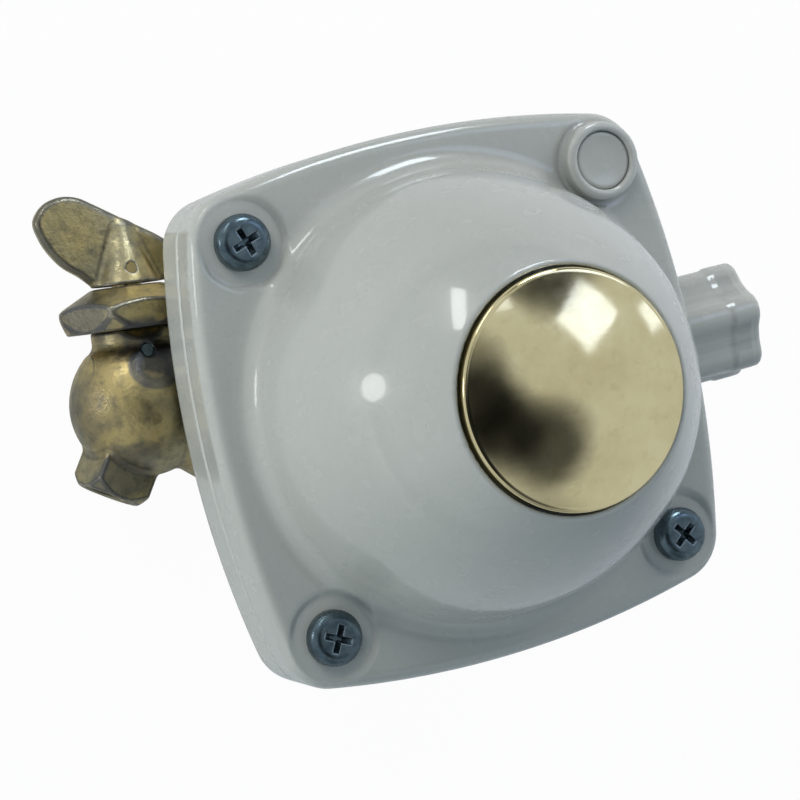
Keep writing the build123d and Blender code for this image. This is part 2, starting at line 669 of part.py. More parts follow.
def valve_plunger():
    """Headed plunger with a pad recess and a slot for the lever's finger."""
    start = Vector(HEAD_X, INLET_Y, INLET_Z)
    tail = PIVOT_X + PLUNGER_TAIL - HEAD_X
    body = rod(start, X_WAY, PLUNGER_HEAD_R, PLUNGER_HEAD_T) + rod(start, X_WAY, PLUNGER_R, tail)
    body -= rod(start, X_WAY, PAD_R + FIT, PAD_SINK)
    finger_top = PIVOT_Z + LEVER_FINGER + EASE
    body -= block(
        (PIVOT_X - SLOT_HALF, INLET_Y - PLUNGER_R, INLET_Z - PLUNGER_R),
        (PIVOT_X + SLOT_HALF, INLET_Y + PLUNGER_R, finger_top),
    )
    return body


def seat_pad():
    return rod((PAD_X, INLET_Y, INLET_Z), X_WAY, PAD_R, PAD_T)


def inlet_nozzle():
    """Brass jet: threaded shank, hexagon head and a raised seat round the orifice."""
    start = Vector(TAIL_END_X, INLET_Y, INLET_Z)
    face = Plane(origin=start, x_dir=(0, 1, 0), z_dir=(1, 0, 0))
    head = extrude(face * RegularPolygon(NOZZLE_HEAD_R, 6), amount=NOZZLE_HEAD_T)
    shank = rod(start, -X_WAY, NOZZLE_R, NOZZLE_SHANK)
    tip_start = start + X_WAY * NOZZLE_HEAD_T
    tip = Plane(origin=tip_start, z_dir=X_WAY) * Cone(
        NOZZLE_TIP_FOOT_R, NOZZLE_TIP_R, NOZZLE_TIP_T, align=STANDING
    )
    bore_start = start - X_WAY * NOZZLE_SHANK
    bore = rod(bore_start, X_WAY, ORIFICE_R, NOZZLE_SHANK + NOZZLE_HEAD_T + NOZZLE_TIP_T)
    feed = rod(bore_start, X_WAY, PASSAGE_R, NOZZLE_SHANK)
    return head + shank + tip - bore - feed


# ---- Inlet cock ---------------------------------------------------------------------
def cock_nose():
    """Four-sided nose from the centre to the mouth, its corners turned off at the mouth."""
    face = Plane(origin=BALL, x_dir=Vector(0, 0, 1), z_dir=NOSE_WAY)
    section = Rot(0, 0, NOSE_TWIST) * RectangleRounded(NOSE_FLATS, NOSE_FLATS, NOSE_CORNER_R)
    wide = NOSE_END_R + NOSE_TURNED
    turning = turned(
        Polyline(
            (0, 0),
            (wide, 0),
            (wide, NOSE_LEN - NOSE_TURNED),
            (NOSE_END_R, NOSE_LEN),
            (0, NOSE_LEN),
            (0, 0),
        )
    )
    return face * (extrude(section, amount=NOSE_LEN) & turning)


def cock_skirt():
    """Foot that widens from the round body to the housing's boss."""
    foot = Plane(origin=(-BOSS_FACE, INLET_Y - SKIRT_SHIFT, INLET_Z), z_dir=X_WAY)
    top = Plane(origin=BALL, z_dir=X_WAY)
    return loft([top * Circle(SKIRT_TOP_R), foot * Circle(SKIRT_R)])


def cock_body():
    """Round brass body with a nose, a tail into the housing and a neck for the gland."""
    foot_x = -BOSS_FACE - GASKET_T
    tail = TAIL_END_X - INLET_X
    ball = Pos(*BALL) * Rot(0, 90, 0) * Sphere(BALL_R)
    body = ball + cock_skirt() + on_spindle(NECK_R, 0, NECK_TOP) + cock_nose()
    body -= rod(BALL + SPOT_WAY * SPOT_STAND, SPOT_WAY, BALL_R, BALL_R)
    room = 2 * BALL_R
    body -= block((foot_x, INLET_Y - room, INLET_Z - room), (0, INLET_Y + room, INLET_Z + room))
    body += rod(BALL, X_WAY, TAIL_R, tail)
    body -= rod(BALL, X_WAY, PASSAGE_R, tail)
    body -= rod((TAIL_END_X, INLET_Y, INLET_Z), -X_WAY, NOZZLE_R + FIT, NOZZLE_SHANK)
    body -= on_spindle(PLUG_R + RUN, -PLUG_FOOT - PLUG_SUMP, PACKING_FOOT)
    body -= on_spindle(PACKING_R + FIT, PACKING_FOOT, NECK_TOP)
    body -= rod(MOUTH, -NOSE_WAY, INLET_BORE_R, INLET_BORE_DEPTH)
    body -= rod(MOUTH, -NOSE_WAY, FILTER_R + FIT, INLET_BORE_DEPTH + FILTER_T)
    body -= rod(MOUTH, -NOSE_WAY, PASSAGE_R, NOSE_LEN - PLUG_FOOT - PASSAGE_R)
    return body - lock_bar(LOCK_R + FIT, BALL_R)


def lock_bar(radius, length):
    """Bar that starts on the gland's skirt and leaves through the spot face."""
    height = PACKING_FOOT + PACKING_T + LOCK_R + EASE
    start = BALL + SPINDLE_WAY * height + Vector(0, 0, PACKING_R + FIT)
    return rod(start, Vector(0, 0, 1), radius, length)


def gland_lock_screw():
    return lock_bar(LOCK_R, LOCK_LEN)


def inlet_gasket():
    start = (-BOSS_FACE - GASKET_T, INLET_Y, INLET_Z)
    return rod(start, X_WAY, GASKET_R, GASKET_T) - rod(start, X_WAY, TAIL_R + FIT, GASKET_T)


def inlet_filter():
    return perforated(MOUTH - NOSE_WAY * INLET_BORE_DEPTH, -NOSE_WAY, FILTER_R, FILTER_T)


def cock_plug():
    """Plug with an axial inlet and a side port, and the spindle above it."""
    plug = on_spindle(PLUG_R, -PLUG_FOOT, PLUG_TOP)
    spindle = on_spindle(SPINDLE_R, PLUG_TOP, HANDLE_FOOT + SPINDLE_ENTRY)
    inlet = on_spindle(PASSAGE_R, -PLUG_FOOT, PASSAGE_R)
    port = rod(BALL, SPINDLE_SIDE, PASSAGE_R, PLUG_R)
    return plug + spindle - inlet - port - handle_pin_bar(HANDLE_PIN_R + FIT, SPINDLE_R)


def gland_packing():
    foot = PACKING_FOOT
    return on_spindle(PACKING_R, foot, foot + PACKING_T) - on_spindle(SPINDLE_R + RUN, foot, NECK_TOP)


def gland_nut():
    """Hexagon gland nut with a screwed skirt, flared corners and a long cone on top."""
    skirt = on_spindle(PACKING_R, PACKING_FOOT + PACKING_T, NECK_TOP)
    hexagon = extrude(RegularPolygon(GLAND_HEX_R, 6), amount=GLAND_TOP - NECK_TOP)
    turning = turned(
        Polyline(
            (0, NECK_TOP),
            (GLAND_FOOT_R, NECK_TOP),
            (GLAND_HEX_R, GLAND_EDGE_FOOT),
            (GLAND_HEX_R, GLAND_EDGE_TOP),
            (GLAND_CONE_R, GLAND_TOP),
            (0, GLAND_TOP),
            (0, NECK_TOP),
        )
    )
    head = SPINDLE * (Pos(0, 0, NECK_TOP) * hexagon & turning)
    return skirt + head - on_spindle(SPINDLE_R + RUN, PLUG_TOP, HANDLE_FOOT)


# ---- Cock handle --------------------------------------------------------------------
def handle_leaf():
    """Thumb leaf, flat in the plane of the cock, leaning to the side away from the housing."""
    edge = Spline(
        LEAF_START,
        LEAF_ROOT,
        LEAF_BELLY,
        LEAF_SIDE,
        LEAF_TIP,
        LEAF_BACK,
        LEAF_SHOULDER,
        LEAF_END,
        tangents=((-0.6, 1), (-0.8, -1)),
    )
    face = make_face(edge.edges() + Line(LEAF_END, LEAF_START).edges())
    leaf = extrude(Plane.XZ * face, amount=LEAF_T / 2, both=True)
    rims = leaf.edges().group_by(Axis.Y)
    return Pos(0, 0, HANDLE_FOOT) * chamfer(rims[0] + rims[-1], LEAF_BEVEL)


def cock_handle():
    """Leaf and coned hub in one casting, pinned on the spindle."""
    hub = Pos(0, 0, HANDLE_FOOT) * Cone(HUB_R, HUB_TOP_R, HUB_H, align=STANDING)
    hub = fillet(hub.edges().group_by(Axis.Z)[-1], HUB_TOP_R / 2)
    body = SPINDLE * (handle_leaf() + hub)
    body -= on_spindle(SPINDLE_R + FIT, HANDLE_FOOT, HANDLE_FOOT + SPINDLE_ENTRY)
    return body - handle_pin_bar(HANDLE_PIN_R + FIT, HUB_R)


def handle_pin_bar(radius, half):
    """Bar across the hub, square to the leaf."""
    centre = BALL + SPINDLE_WAY * (HANDLE_FOOT + HANDLE_PIN_H)
    return rod(centre - Vector(0, 0, half), Vector(0, 0, 1), radius, 2 * half)


def handle_pin():
    return handle_pin_bar(HANDLE_PIN_R, HANDLE_PIN_LEN / 2)


# ---- Fasteners and seal -------------------------------------------------------------
def pan_screw():
    """Cross-recess pan-head screw standing on its seat at Z = 0."""
    head = Cylinder(SCREW_HEAD_R, SCREW_HEAD_T, align=STANDING)
    head = fillet(head.edges().sort_by(Axis.Z)[-1], SCREW_DOME_R)
    shank = Pos(0, 0, -SCREW_LEN) * Cylinder(SCREW_R, SCREW_LEN, align=STANDING)
    cross = Rectangle(SCREW_CROSS_L, SCREW_CROSS_W) + Rectangle(SCREW_CROSS_W, SCREW_CROSS_L)
    recess = Pos(0, 0, SCREW_HEAD_T - SCREW_CROSS_DEPTH) * extrude(cross, amount=SCREW_CROSS_DEPTH)
    return head + shank - recess


def cover_screws():
    """Four alike: three on open lands and one at the foot of the sealed well."""
    screw = pan_screw()
    places = [(x, y, LAND_Z) for x, y in SCREW_PLACES] + [(*SEAL_PLACE, SEAL_FLOOR_Z)]
    return Part() + [Pos(*place) * screw for place in places]


def seal_plug():
    top = BONNET_FLANGE + SEAL_COLLAR_RISE - SEAL_PLUG_SINK
    plug = Cylinder(SEAL_WELL_R - FIT, SEAL_PLUG_T, align=STANDING)
    return Pos(*SEAL_PLACE, top - SEAL_PLUG_T) * plug


# ---- Export -------------------------------------------------------------------------
PIECES = [
    lower_body,
    bonnet,
    cap,
    adjusting_screw,
    spring_button,
    main_spring,
    diaphragm,
    diaphragm_plate,
    diaphragm_stem,
    relief_spring,
    relief_retainer,
    valve_lever,
    lever_pivot_pin,
    valve_plunger,
    seat_pad,
    inlet_nozzle,
    inlet_gasket,
    inlet_filter,
    cock_body,
    cock_plug,
    gland_nut,
    gland_packing,
    gland_lock_screw,
    cock_handle,
    handle_pin,
    cover_screws,
    seal_plug,
    vent_screen,
]

os.makedirs("parts", exist_ok=True)
for piece in PIECES:
    export_step(Pos(*(-MOUTH)) * piece(), f"parts/{piece.__name__}.step")
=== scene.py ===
import json
from math import cos, pi, radians, sin, sqrt

import bmesh
import bpy
import numpy as np
from mathutils import Matrix, Quaternion, Vector


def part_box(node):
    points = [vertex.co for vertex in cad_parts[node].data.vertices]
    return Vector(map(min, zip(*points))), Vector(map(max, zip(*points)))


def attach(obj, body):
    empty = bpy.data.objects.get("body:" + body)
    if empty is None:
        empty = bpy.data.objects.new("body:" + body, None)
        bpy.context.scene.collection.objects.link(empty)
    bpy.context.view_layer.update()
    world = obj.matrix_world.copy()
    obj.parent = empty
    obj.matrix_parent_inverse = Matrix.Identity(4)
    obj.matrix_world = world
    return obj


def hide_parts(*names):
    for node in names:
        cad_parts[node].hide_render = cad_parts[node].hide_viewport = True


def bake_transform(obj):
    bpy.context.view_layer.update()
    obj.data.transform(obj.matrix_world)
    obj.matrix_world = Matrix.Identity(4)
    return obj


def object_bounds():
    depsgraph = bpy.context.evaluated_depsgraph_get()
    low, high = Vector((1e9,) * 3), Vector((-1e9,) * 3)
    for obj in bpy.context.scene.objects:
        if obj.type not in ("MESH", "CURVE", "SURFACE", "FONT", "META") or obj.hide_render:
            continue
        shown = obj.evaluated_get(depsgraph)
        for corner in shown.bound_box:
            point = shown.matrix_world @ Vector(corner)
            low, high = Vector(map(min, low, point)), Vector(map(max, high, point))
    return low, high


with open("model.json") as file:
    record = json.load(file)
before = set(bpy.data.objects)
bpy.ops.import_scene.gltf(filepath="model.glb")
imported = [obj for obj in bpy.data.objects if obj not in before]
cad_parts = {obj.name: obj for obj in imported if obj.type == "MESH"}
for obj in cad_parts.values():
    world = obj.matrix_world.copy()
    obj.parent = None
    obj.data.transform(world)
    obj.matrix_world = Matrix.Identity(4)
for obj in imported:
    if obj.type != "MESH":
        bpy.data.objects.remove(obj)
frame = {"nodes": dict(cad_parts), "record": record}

# Gas regulator: cast skins, threads, materials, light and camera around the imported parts.
# The skins are drawn as distance fields in millimetres about the housing axis, with the
# parting plane at z = 0, and are meshed in metres in the frame of the CAD model.

cad_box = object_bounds()
nodes = frame["nodes"]
bonnet_low, bonnet_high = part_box("bonnet")
MM = 0.001
AXIS = np.array(
    [(bonnet_low.x + bonnet_high.x) / 2, (bonnet_low.y + bonnet_high.y) / 2, bonnet_low.z]
)
UP = np.array([0.0, 0.0, 1.0])

# ---- Sizes, as in the CAD model (mm) ---------------------------------------------------
# Flanges: screws on a square, sides bowed on an arc that meets the corner rounds
HALF_PITCH = 34.0
CORNER_R = 8.8
REACH = 46.3
BOW_R = (HALF_PITCH**2 + (REACH - HALF_PITCH) ** 2 - CORNER_R**2) / (
    2 * (REACH - HALF_PITCH - CORNER_R)
)
BODY_FLANGE = 10.0
BONNET_FLANGE = 8.0
EDGE_R = 2.4
PARTING_R = 0.5
CORNERS = [(-HALF_PITCH, HALF_PITCH), (-HALF_PITCH, -HALF_PITCH), (HALF_PITCH, -HALF_PITCH)]
SEALED = (HALF_PITCH, HALF_PITCH)
LAND_R = 7.8
LAND_Z = 7.5
CHAMBER_R = 32.0
CHAMBER_HALF = 9.0

# Dome, with the seat of the cap, the bore of the adjusting screw and the vent
DOME_FOOT_R = 39.0
DOME_MOUTH_R = 20.7
DOME_TOP = 48.0
DOME_RIM = 47.5
DOME_BULGE_R = 62.5
DOME_FROM = 2.0
COVE_R = 4.0
WALL = 3.2
ROOM_TOP = 42.3
CAP_SEAT_R = 19.75
CAP_SEAT_Z = 45.5
BORE_R = 14.58
BORE_FROM = 28.0
TUBE_R = 17.9
TUBE_FROM = 30.0
VENT_Z = 17.0
VENT_R = 1.4
VENT_SEAT_R = 2.6
VENT_SEAT_DEPTH = 1.0

# Collar of the sealed screw
COLLAR_R = 6.9
COLLAR_FROM = 4.0
COLLAR_TOP = 11.2
SEAL_BORE_R = 5.2
SEAL_FLOOR = 7.0

# Inlet cock: ball, spindle way, nose way
BALL = np.array([-48.0, 10.2, -23.5])
BALL_R = 12.8
SPINDLE_TURN = radians(6)
SPINDLE_WAY = np.array([sin(SPINDLE_TURN), cos(SPINDLE_TURN), 0.0])
SPINDLE_SIDE = np.array([cos(SPINDLE_TURN), -sin(SPINDLE_TURN), 0.0])
NOSE_AIM = radians(35)
NOSE_WAY = np.array([-sin(NOSE_AIM), -cos(NOSE_AIM), 0.0])
NOSE_SIDE = np.array([cos(NOSE_AIM), -sin(NOSE_AIM), 0.0])
NOSE_TURN = radians(-11.5)
NOSE_HALF = 5.3
NOSE_END = 17.3
NOSE_END_R = 5.4
SPOT_TILT = radians(32)
SPOT_WAY = SPINDLE_WAY * sin(SPOT_TILT) + UP * cos(SPOT_TILT)
SPOT_AT = 12.3
NECK_R = 7.4
NECK_END = 13.4
SKIRT_LENGTH = 10.0
SKIRT_SHIFT = 5.0
SKIRT_R = 9.0
SKIRT_GROWTH = 4.0
COCK_FACE = -39.0
INLET_BORE_R = 4.45
INLET_FLOOR = 8.3
FILTER_R = 3.5
FILTER_FLOOR = 7.7
PASSAGE_R = 2.3
PASSAGE_FROM = 3.0
PLUG_R = 5.1
PLUG_FROM = -7.0
PLUG_TO = 14.0
PACKING_R = 5.62
PACKING_FROM = 6.0
LOCK_AT = 9.4
LOCK_R = 1.15
LOCK_FLOOR = 5.0

# Bowl of the lower body, with the boss that carries the cock and the lever's channel
BOWL_TOP_R = 37.5
BOWL_FOOT_R = 35.0
BOWL_FROM = -5.0
BOWL_FOOT = -36.5
BOWL_TAPER = (BOWL_TOP_R - BOWL_FOOT_R) / (-BODY_FLANGE - BOWL_FOOT)
BOWL_EDGE_R = 5.0
BOWL_ROOM_R = 30.0
BOWL_FLOOR = -31.3
BOSS_Y = 7.7
BOSS_HALF = 2.5
BOSS_R = 12.0
BOSS_FACE = -38.0
BOSS_END = -15.0
TAIL_R = 6.6
TAIL_FROM = -40.0
TAIL_TO = -17.0
CHANNEL_X = (-17.5, 4.6)
CHANNEL_HALF = 2.9
CHANNEL_Z = (-32.3, -17.7)

# Outlet spigot
OUTLET_Y = -1.2
OUTLET_Z = -15.5
OUTLET_FROM = 30.0
OUTLET_END = 68.0
OUTLET_CORE_R = 9.4
OUTLET_LOBE_REACH = 11.0
COLLAR_LENGTH = 6.0
COLLAR_CORE_R = 9.6
COLLAR_LOBE_REACH = 11.3
LOBE_R = 3.4
LOBES = 6
LOBE_TURN = 12.0
OUTLET_BORE_R = 5.9
OUTLET_BORE_FROM = 56.0
OUTLET_PASSAGE_R = 4.0
OUTLET_PASSAGE_FROM = 27.0

# Gland nut
NUT_R = 13.0
NUT_END = 21.0
NUT_BORE_R = 2.7
FLARE_R = 11.4
FLARE_GROWTH = 1.6 / 3.0
CONE_FROM = 17.4
CONE_GROWTH = 6.7 / 3.6

# Thumb leaf: outline across and along the spindle, from the handle's foot
HANDLE_FOOT = 21.3
LEAF_KNOTS = [
    (-6.0, 0.0),
    (-8.4, 2.2),
    (-11.0, 4.1),
    (-13.1, 6.6),
    (-14.6, 9.5),
    (-15.2, 12.6),
    (-13.4, 15.2),
    (-10.4, 16.4),
    (-7.2, 16.1),
    (-4.3, 14.6),
    (1.2, 11.3),
    (6.8, 8.0),
    (9.1, 5.7),
    (9.1, 2.6),
    (7.2, 0.0),
]
LEAF_HALF = 1.5
HUB_R = 5.8
HUB_HEIGHT = 11.0
HUB_TAPER = 4.1 / HUB_HEIGHT
HUB_BORE_R = 2.65
HUB_BORE_TOP = 5.6
PIN_AT = 2.7
PIN_R = 0.95

# Pan-head cover screws
HEAD_R = 4.8
HEAD_TOP = 3.1
HEAD_CROWN = 1.9
SHANK_R = 2.5
SHANK_FOOT = -4.0
SHANK_TOP = 1.0
RECESS_WING = 2.5
RECESS_HALF = 0.55
RECESS_DEPTH = 1.9
WING_TAPER = 0.75
HALF_TAPER = 0.12
SCREW_TURNS = (20, 63, 38)

# Brass cap
CAP_R = 19.3
CAP_RISE = 4.2
CAP_TOP = 53.1
CAP_FOOT = 45.5
CAP_THICK = 1.2
CAP_ROLL_R = 0.6
CAP_CHAMFER = 0.2
CAP_WALL = 1.8
CAP_HOLLOW_R = 0.3

# Seal plug
SEAL_R = 5.15
SEAL_FOOT = 8.2
SEAL_TOP = 10.6

# Threads: depth, pitch and length. The section's points are shares of depth and pitch.
OUTLET_THREAD = (0.75, 1.337, 10.0)
INLET_THREAD = (0.5, 0.907, 7.2)
THREAD_LEAD = 0.8
THREAD_SECTION = [(0.02, -0.42), (-1.0, -0.08), (-1.0, 0.08), (0.02, 0.42)]

# Diaphragm: clamped rim, edge of the plate, and sectors that it is cut in
SECTORS = 16

# Factors that turn the field of a sloping wall into a distance
SKIRT_SCALE = 0.9
CHAMFER_SCALE = 0.7071
FLARE_SCALE = 0.88
CONE_SCALE = 0.473
HUB_SCALE = 0.937
RECESS_SCALE = 0.9


# ---- Distance fields -------------------------------------------------------------------
def join(a, b, r):
    """Union with a hollow fillet."""
    return np.maximum(r, np.minimum(a, b)) - np.hypot(np.maximum(r - a, 0), np.maximum(r - b, 0))


def meet(a, b, r):
    """Intersection with a rounded edge."""
    return np.minimum(-r, np.maximum(a, b)) + np.hypot(np.maximum(r + a, 0), np.maximum(r + b, 0))


def cut(a, b, r):
    """First shape without the second, its edge rounded."""
    return meet(a, -b, r)


def without(a, b):
    """First shape without the second, its edge sharp."""
    return np.maximum(a, -b)


def between(value, low, high):
    """Slab between two planes."""
    return np.maximum(low - value, value - high)


def along(p, start, way):
    """Distance along a line and away from it."""
    d = [p[i] - start[i] for i in range(3)]
    s = d[0] * way[0] + d[1] * way[1] + d[2] * way[2]
    away = np.sqrt(np.maximum(d[0] ** 2 + d[1] ** 2 + d[2] ** 2 - s * s, 0))
    return s, away


def outline(x, y):
    """Flange outline: bowed sides and corners round the screws."""
    ax, ay = np.abs(x), np.abs(y)
    u, v = np.maximum(ax, ay), np.minimum(ax, ay)
    centre = REACH - BOW_R
    corner = v * (HALF_PITCH - centre) > (u - centre) * HALF_PITCH
    side = np.hypot(u - centre, v) - BOW_R
    return np.where(corner, np.hypot(u - HALF_PITCH, v - HALF_PITCH) - CORNER_R, side)


def dome_centre():
    """Centre of the dome's arc, as radius and height."""
    rim = (DOME_MOUTH_R, DOME_RIM)
    foot = (DOME_FOOT_R, BONNET_FLANGE)
    mid = ((rim[0] + foot[0]) / 2, (rim[1] + foot[1]) / 2)
    du, dv = foot[0] - rim[0], foot[1] - rim[1]
    chord = sqrt(du * du + dv * dv)
    h = sqrt(DOME_BULGE_R**2 - chord**2 / 4)
    return mid[0] + dv / chord * h, mid[1] - du / chord * h


DOME_C = dome_centre()
VENT_WALL = DOME_C[0] + sqrt(DOME_BULGE_R**2 - (VENT_Z - DOME_C[1]) ** 2)


def bonnet_field(p):
    """Upper half: flange, dome, lands, sealed collar, and the rooms and bores inside."""
    x, y, z = p
    radial = np.hypot(x, y)
    slab = meet(outline(x, y), z - BONNET_FLANGE, r=EDGE_R)
    slab = meet(slab, -z, r=PARTING_R)
    arc = np.hypot(radial - DOME_C[0], z - DOME_C[1]) - DOME_BULGE_R
    dome = meet(arc, z - DOME_TOP, r=0.5)
    dome = np.maximum(dome, DOME_FROM - z)
    body = join(slab, dome, r=COVE_R)
    for cx, cy in [*CORNERS, SEALED]:
        land = meet(np.hypot(x - cx, y - cy) - LAND_R, LAND_Z - z, r=1.0)
        body = cut(body, land, r=0.7)
    away = np.hypot(x - SEALED[0], y - SEALED[1])
    collar = meet(away - COLLAR_R, between(z, COLLAR_FROM, COLLAR_TOP), r=0.9)
    body = join(body, collar, r=1.0)
    body = cut(body, np.maximum(away - SEAL_BORE_R, SEAL_FLOOR - z), r=0.5)
    body = cut(body, np.maximum(radial - CAP_SEAT_R, CAP_SEAT_Z - z), r=0.35)
    body = without(body, np.maximum(radial - BORE_R, BORE_FROM - z))
    room = np.maximum(arc + WALL, z - ROOM_TOP)
    room = without(room, np.maximum(radial - TUBE_R, TUBE_FROM - z))
    body = without(body, np.maximum(room, BONNET_FLANGE - z))
    body = without(body, np.maximum(radial - CHAMBER_R, z - CHAMBER_HALF))
    vent, off = along(p, (0, 0, VENT_Z), (1, 0, 0))
    body = without(body, np.maximum(off - VENT_R, -vent))
    seat = np.maximum(off - VENT_SEAT_R, VENT_WALL - VENT_SEAT_DEPTH - vent)
    return cut(body, seat, r=0.3)


def lobed(y, z, core, reach):
    """Round core with lobes that reach a radius."""
    field = np.hypot(y, z) - core
    ring = reach - LOBE_R
    for k in range(LOBES):
        turn = radians(LOBE_TURN + 360.0 / LOBES * k)
        lobe = np.hypot(y - ring * sin(turn), z - ring * cos(turn)) - LOBE_R
        field = join(field, lobe, r=0.8)
    return field


def body_field(p):
    """Lower half: flange, bowl, boss and outlet, with chamber, passages and channel."""
    x, y, z = p
    radial = np.hypot(x, y)
    slab = meet(outline(x, y), -BODY_FLANGE - z, r=EDGE_R)
    slab = meet(slab, z, r=PARTING_R)
    cone = radial - (BOWL_TOP_R + (z + BODY_FLANGE) * BOWL_TAPER)
    bowl = meet(np.maximum(cone, z - BOWL_FROM), BOWL_FOOT - z, r=BOWL_EDGE_R)
    body = join(slab, bowl, r=1.2)
    boss = np.hypot(np.maximum(np.abs(y - BOSS_Y) - BOSS_HALF, 0), z - BALL[2]) - BOSS_R
    boss = meet(boss, between(x, BOSS_FACE, BOSS_END), r=0.6)
    body = join(body, boss, r=1.5)
    v, w = y - OUTLET_Y, z - OUTLET_Z
    spigot = lobed(v, w, OUTLET_CORE_R, OUTLET_LOBE_REACH)
    spigot = np.maximum(spigot, between(x, OUTLET_FROM, OUTLET_END - COLLAR_LENGTH / 3))
    body = join(body, spigot, r=1.6)
    collar = lobed(v, w, COLLAR_CORE_R, COLLAR_LOBE_REACH)
    collar = meet(collar, between(x, OUTLET_END - COLLAR_LENGTH, OUTLET_END), r=0.7)
    body = join(body, collar, r=0.5)
    off = np.hypot(v, w)
    body = cut(body, np.maximum(off - OUTLET_BORE_R, OUTLET_BORE_FROM - x), r=0.5)
    body = without(body, np.maximum(off - OUTLET_PASSAGE_R, OUTLET_PASSAGE_FROM - x))
    body = without(body, np.maximum(radial - BOWL_ROOM_R, BOWL_FLOOR - z))
    body = without(body, np.maximum(radial - CHAMBER_R, -CHAMBER_HALF - z))
    tail = np.hypot(y - BALL[1], z - BALL[2]) - TAIL_R
    body = without(body, np.maximum(tail, between(x, TAIL_FROM, TAIL_TO)))
    channel = np.maximum(between(x, *CHANNEL_X), np.abs(y - BALL[1]) - CHANNEL_HALF)
    return without(body, np.maximum(channel, between(z, *CHANNEL_Z)))


def cock_field(p):
    """Inlet cock: ball, neck, skirt against the housing, and a square nose."""
    x = p[0]
    d = [p[i] - BALL[i] for i in range(3)]
    ball = np.sqrt(d[0] ** 2 + d[1] ** 2 + d[2] ** 2) - BALL_R
    s, away = along(p, BALL, SPINDLE_WAY)
    neck = meet(away - NECK_R, between(s, 0, NECK_END), r=0.4)
    body = join(ball, neck, r=0.8)
    out, _ = along(p, BALL, SPOT_WAY)
    body = meet(body, out - SPOT_AT, r=0.25)
    t = d[0] / SKIRT_LENGTH
    skirt = np.hypot(d[1] + SKIRT_SHIFT * t, d[2]) - (SKIRT_R + SKIRT_GROWTH * t)
    skirt = np.maximum(skirt * SKIRT_SCALE, -t)
    body = join(body, skirt, r=1.2)
    n = d[0] * NOSE_WAY[0] + d[1] * NOSE_WAY[1]
    a = d[0] * NOSE_SIDE[0] + d[1] * NOSE_SIDE[1]
    u = np.abs(a * cos(NOSE_TURN) + d[2] * sin(NOSE_TURN))
    v = np.abs(-a * sin(NOSE_TURN) + d[2] * cos(NOSE_TURN))
    nose = meet(u - NOSE_HALF, v - NOSE_HALF, r=0.7)
    off = np.hypot(a, d[2])
    nose = meet(nose, (off - NOSE_END_R + n - NOSE_END) * CHAMFER_SCALE, r=0.3)
    nose = meet(nose, between(n, 0, NOSE_END), r=0.3)
    body = join(body, nose, r=0.9)
    body = meet(body, x - COCK_FACE, r=0.5)
    body = cut(body, np.maximum(off - INLET_BORE_R, INLET_FLOOR - n), r=0.5)
    body = without(body, np.maximum(off - FILTER_R, FILTER_FLOOR - n))
    body = without(body, np.maximum(off - PASSAGE_R, PASSAGE_FROM - n))
    body = without(body, np.maximum(away - PLUG_R, between(s, PLUG_FROM, PLUG_TO)))
    body = without(body, np.maximum(away - PACKING_R, between(s, PACKING_FROM, PLUG_TO)))
    up, aside = along(p, BALL + SPINDLE_WAY * LOCK_AT, UP)
    return cut(body, np.maximum(aside - LOCK_R, LOCK_FLOOR - up), r=0.2)


def nut_field(p):
    """Gland nut: a hexagon flared at its foot and coned at its end."""
    s, away = along(p, BALL, SPINDLE_WAY)
    d = [p[i] - BALL[i] for i in range(3)]
    a = d[0] * SPINDLE_SIDE[0] + d[1] * SPINDLE_SIDE[1]
    b = d[2]
    flat = NUT_R * cos(pi / 6)
    hexagon = np.abs(b) - flat
    for turn in (60, 120):
        side = np.abs(a * sin(radians(turn)) + b * cos(radians(turn))) - flat
        hexagon = meet(hexagon, side, r=0.4)
    flare = (away - FLARE_R - (s - NECK_END) * FLARE_GROWTH) * FLARE_SCALE
    cone = (away - NUT_R + (s - CONE_FROM) * CONE_GROWTH) * CONE_SCALE
    nut = meet(meet(hexagon, flare, r=0.3), meet(cone, away - NUT_R, r=0.4), r=0.4)
    nut = meet(nut, between(s, NECK_END, NUT_END), r=0.25)
    return without(nut, away - NUT_BORE_R)


def leaf_outline():
    """Closed smooth outline of the thumb leaf: across and along the spindle."""
    knots = np.array(LEAF_KNOTS) + np.array([0, HANDLE_FOOT])
    n = len(knots)
    points_a_span = 8
    pts = []
    for k in range(n - 1):
        p0, p1 = knots[max(k - 1, 0)], knots[k]
        p2, p3 = knots[k + 1], knots[min(k + 2, n - 1)]
        for t in np.linspace(0, 1, points_a_span, endpoint=False):
            bent = 2 * p1 + (p2 - p0) * t + (2 * p0 - 5 * p1 + 4 * p2 - p3) * t * t
            pts.append(0.5 * (bent + (3 * p1 - p0 - 3 * p2 + p3) * t**3))
    pts.append(knots[-1])
    return np.array(pts)


def polygon_distance(a, s, points):
    """Distance from the border of a polygon, below 0 inside it."""
    best = np.full(a.shape, np.inf, a.dtype)
    inside = np.zeros(a.shape, bool)
    for (x0, y0), (x1, y1) in zip(points, np.roll(points, -1, axis=0)):
        ex, ey = x1 - x0, y1 - y0
        t = np.clip(((a - x0) * ex + (s - y0) * ey) / (ex * ex + ey * ey), 0, 1)
        best = np.minimum(best, (a - x0 - t * ex) ** 2 + (s - y0 - t * ey) ** 2)
        crosses = (y0 > s) != (y1 > s)
        if ey:
            inside ^= crosses & (a < x0 + (s - y0) / ey * ex)
    return np.where(inside, -1.0, 1.0) * np.sqrt(best)


LEAF = leaf_outline()


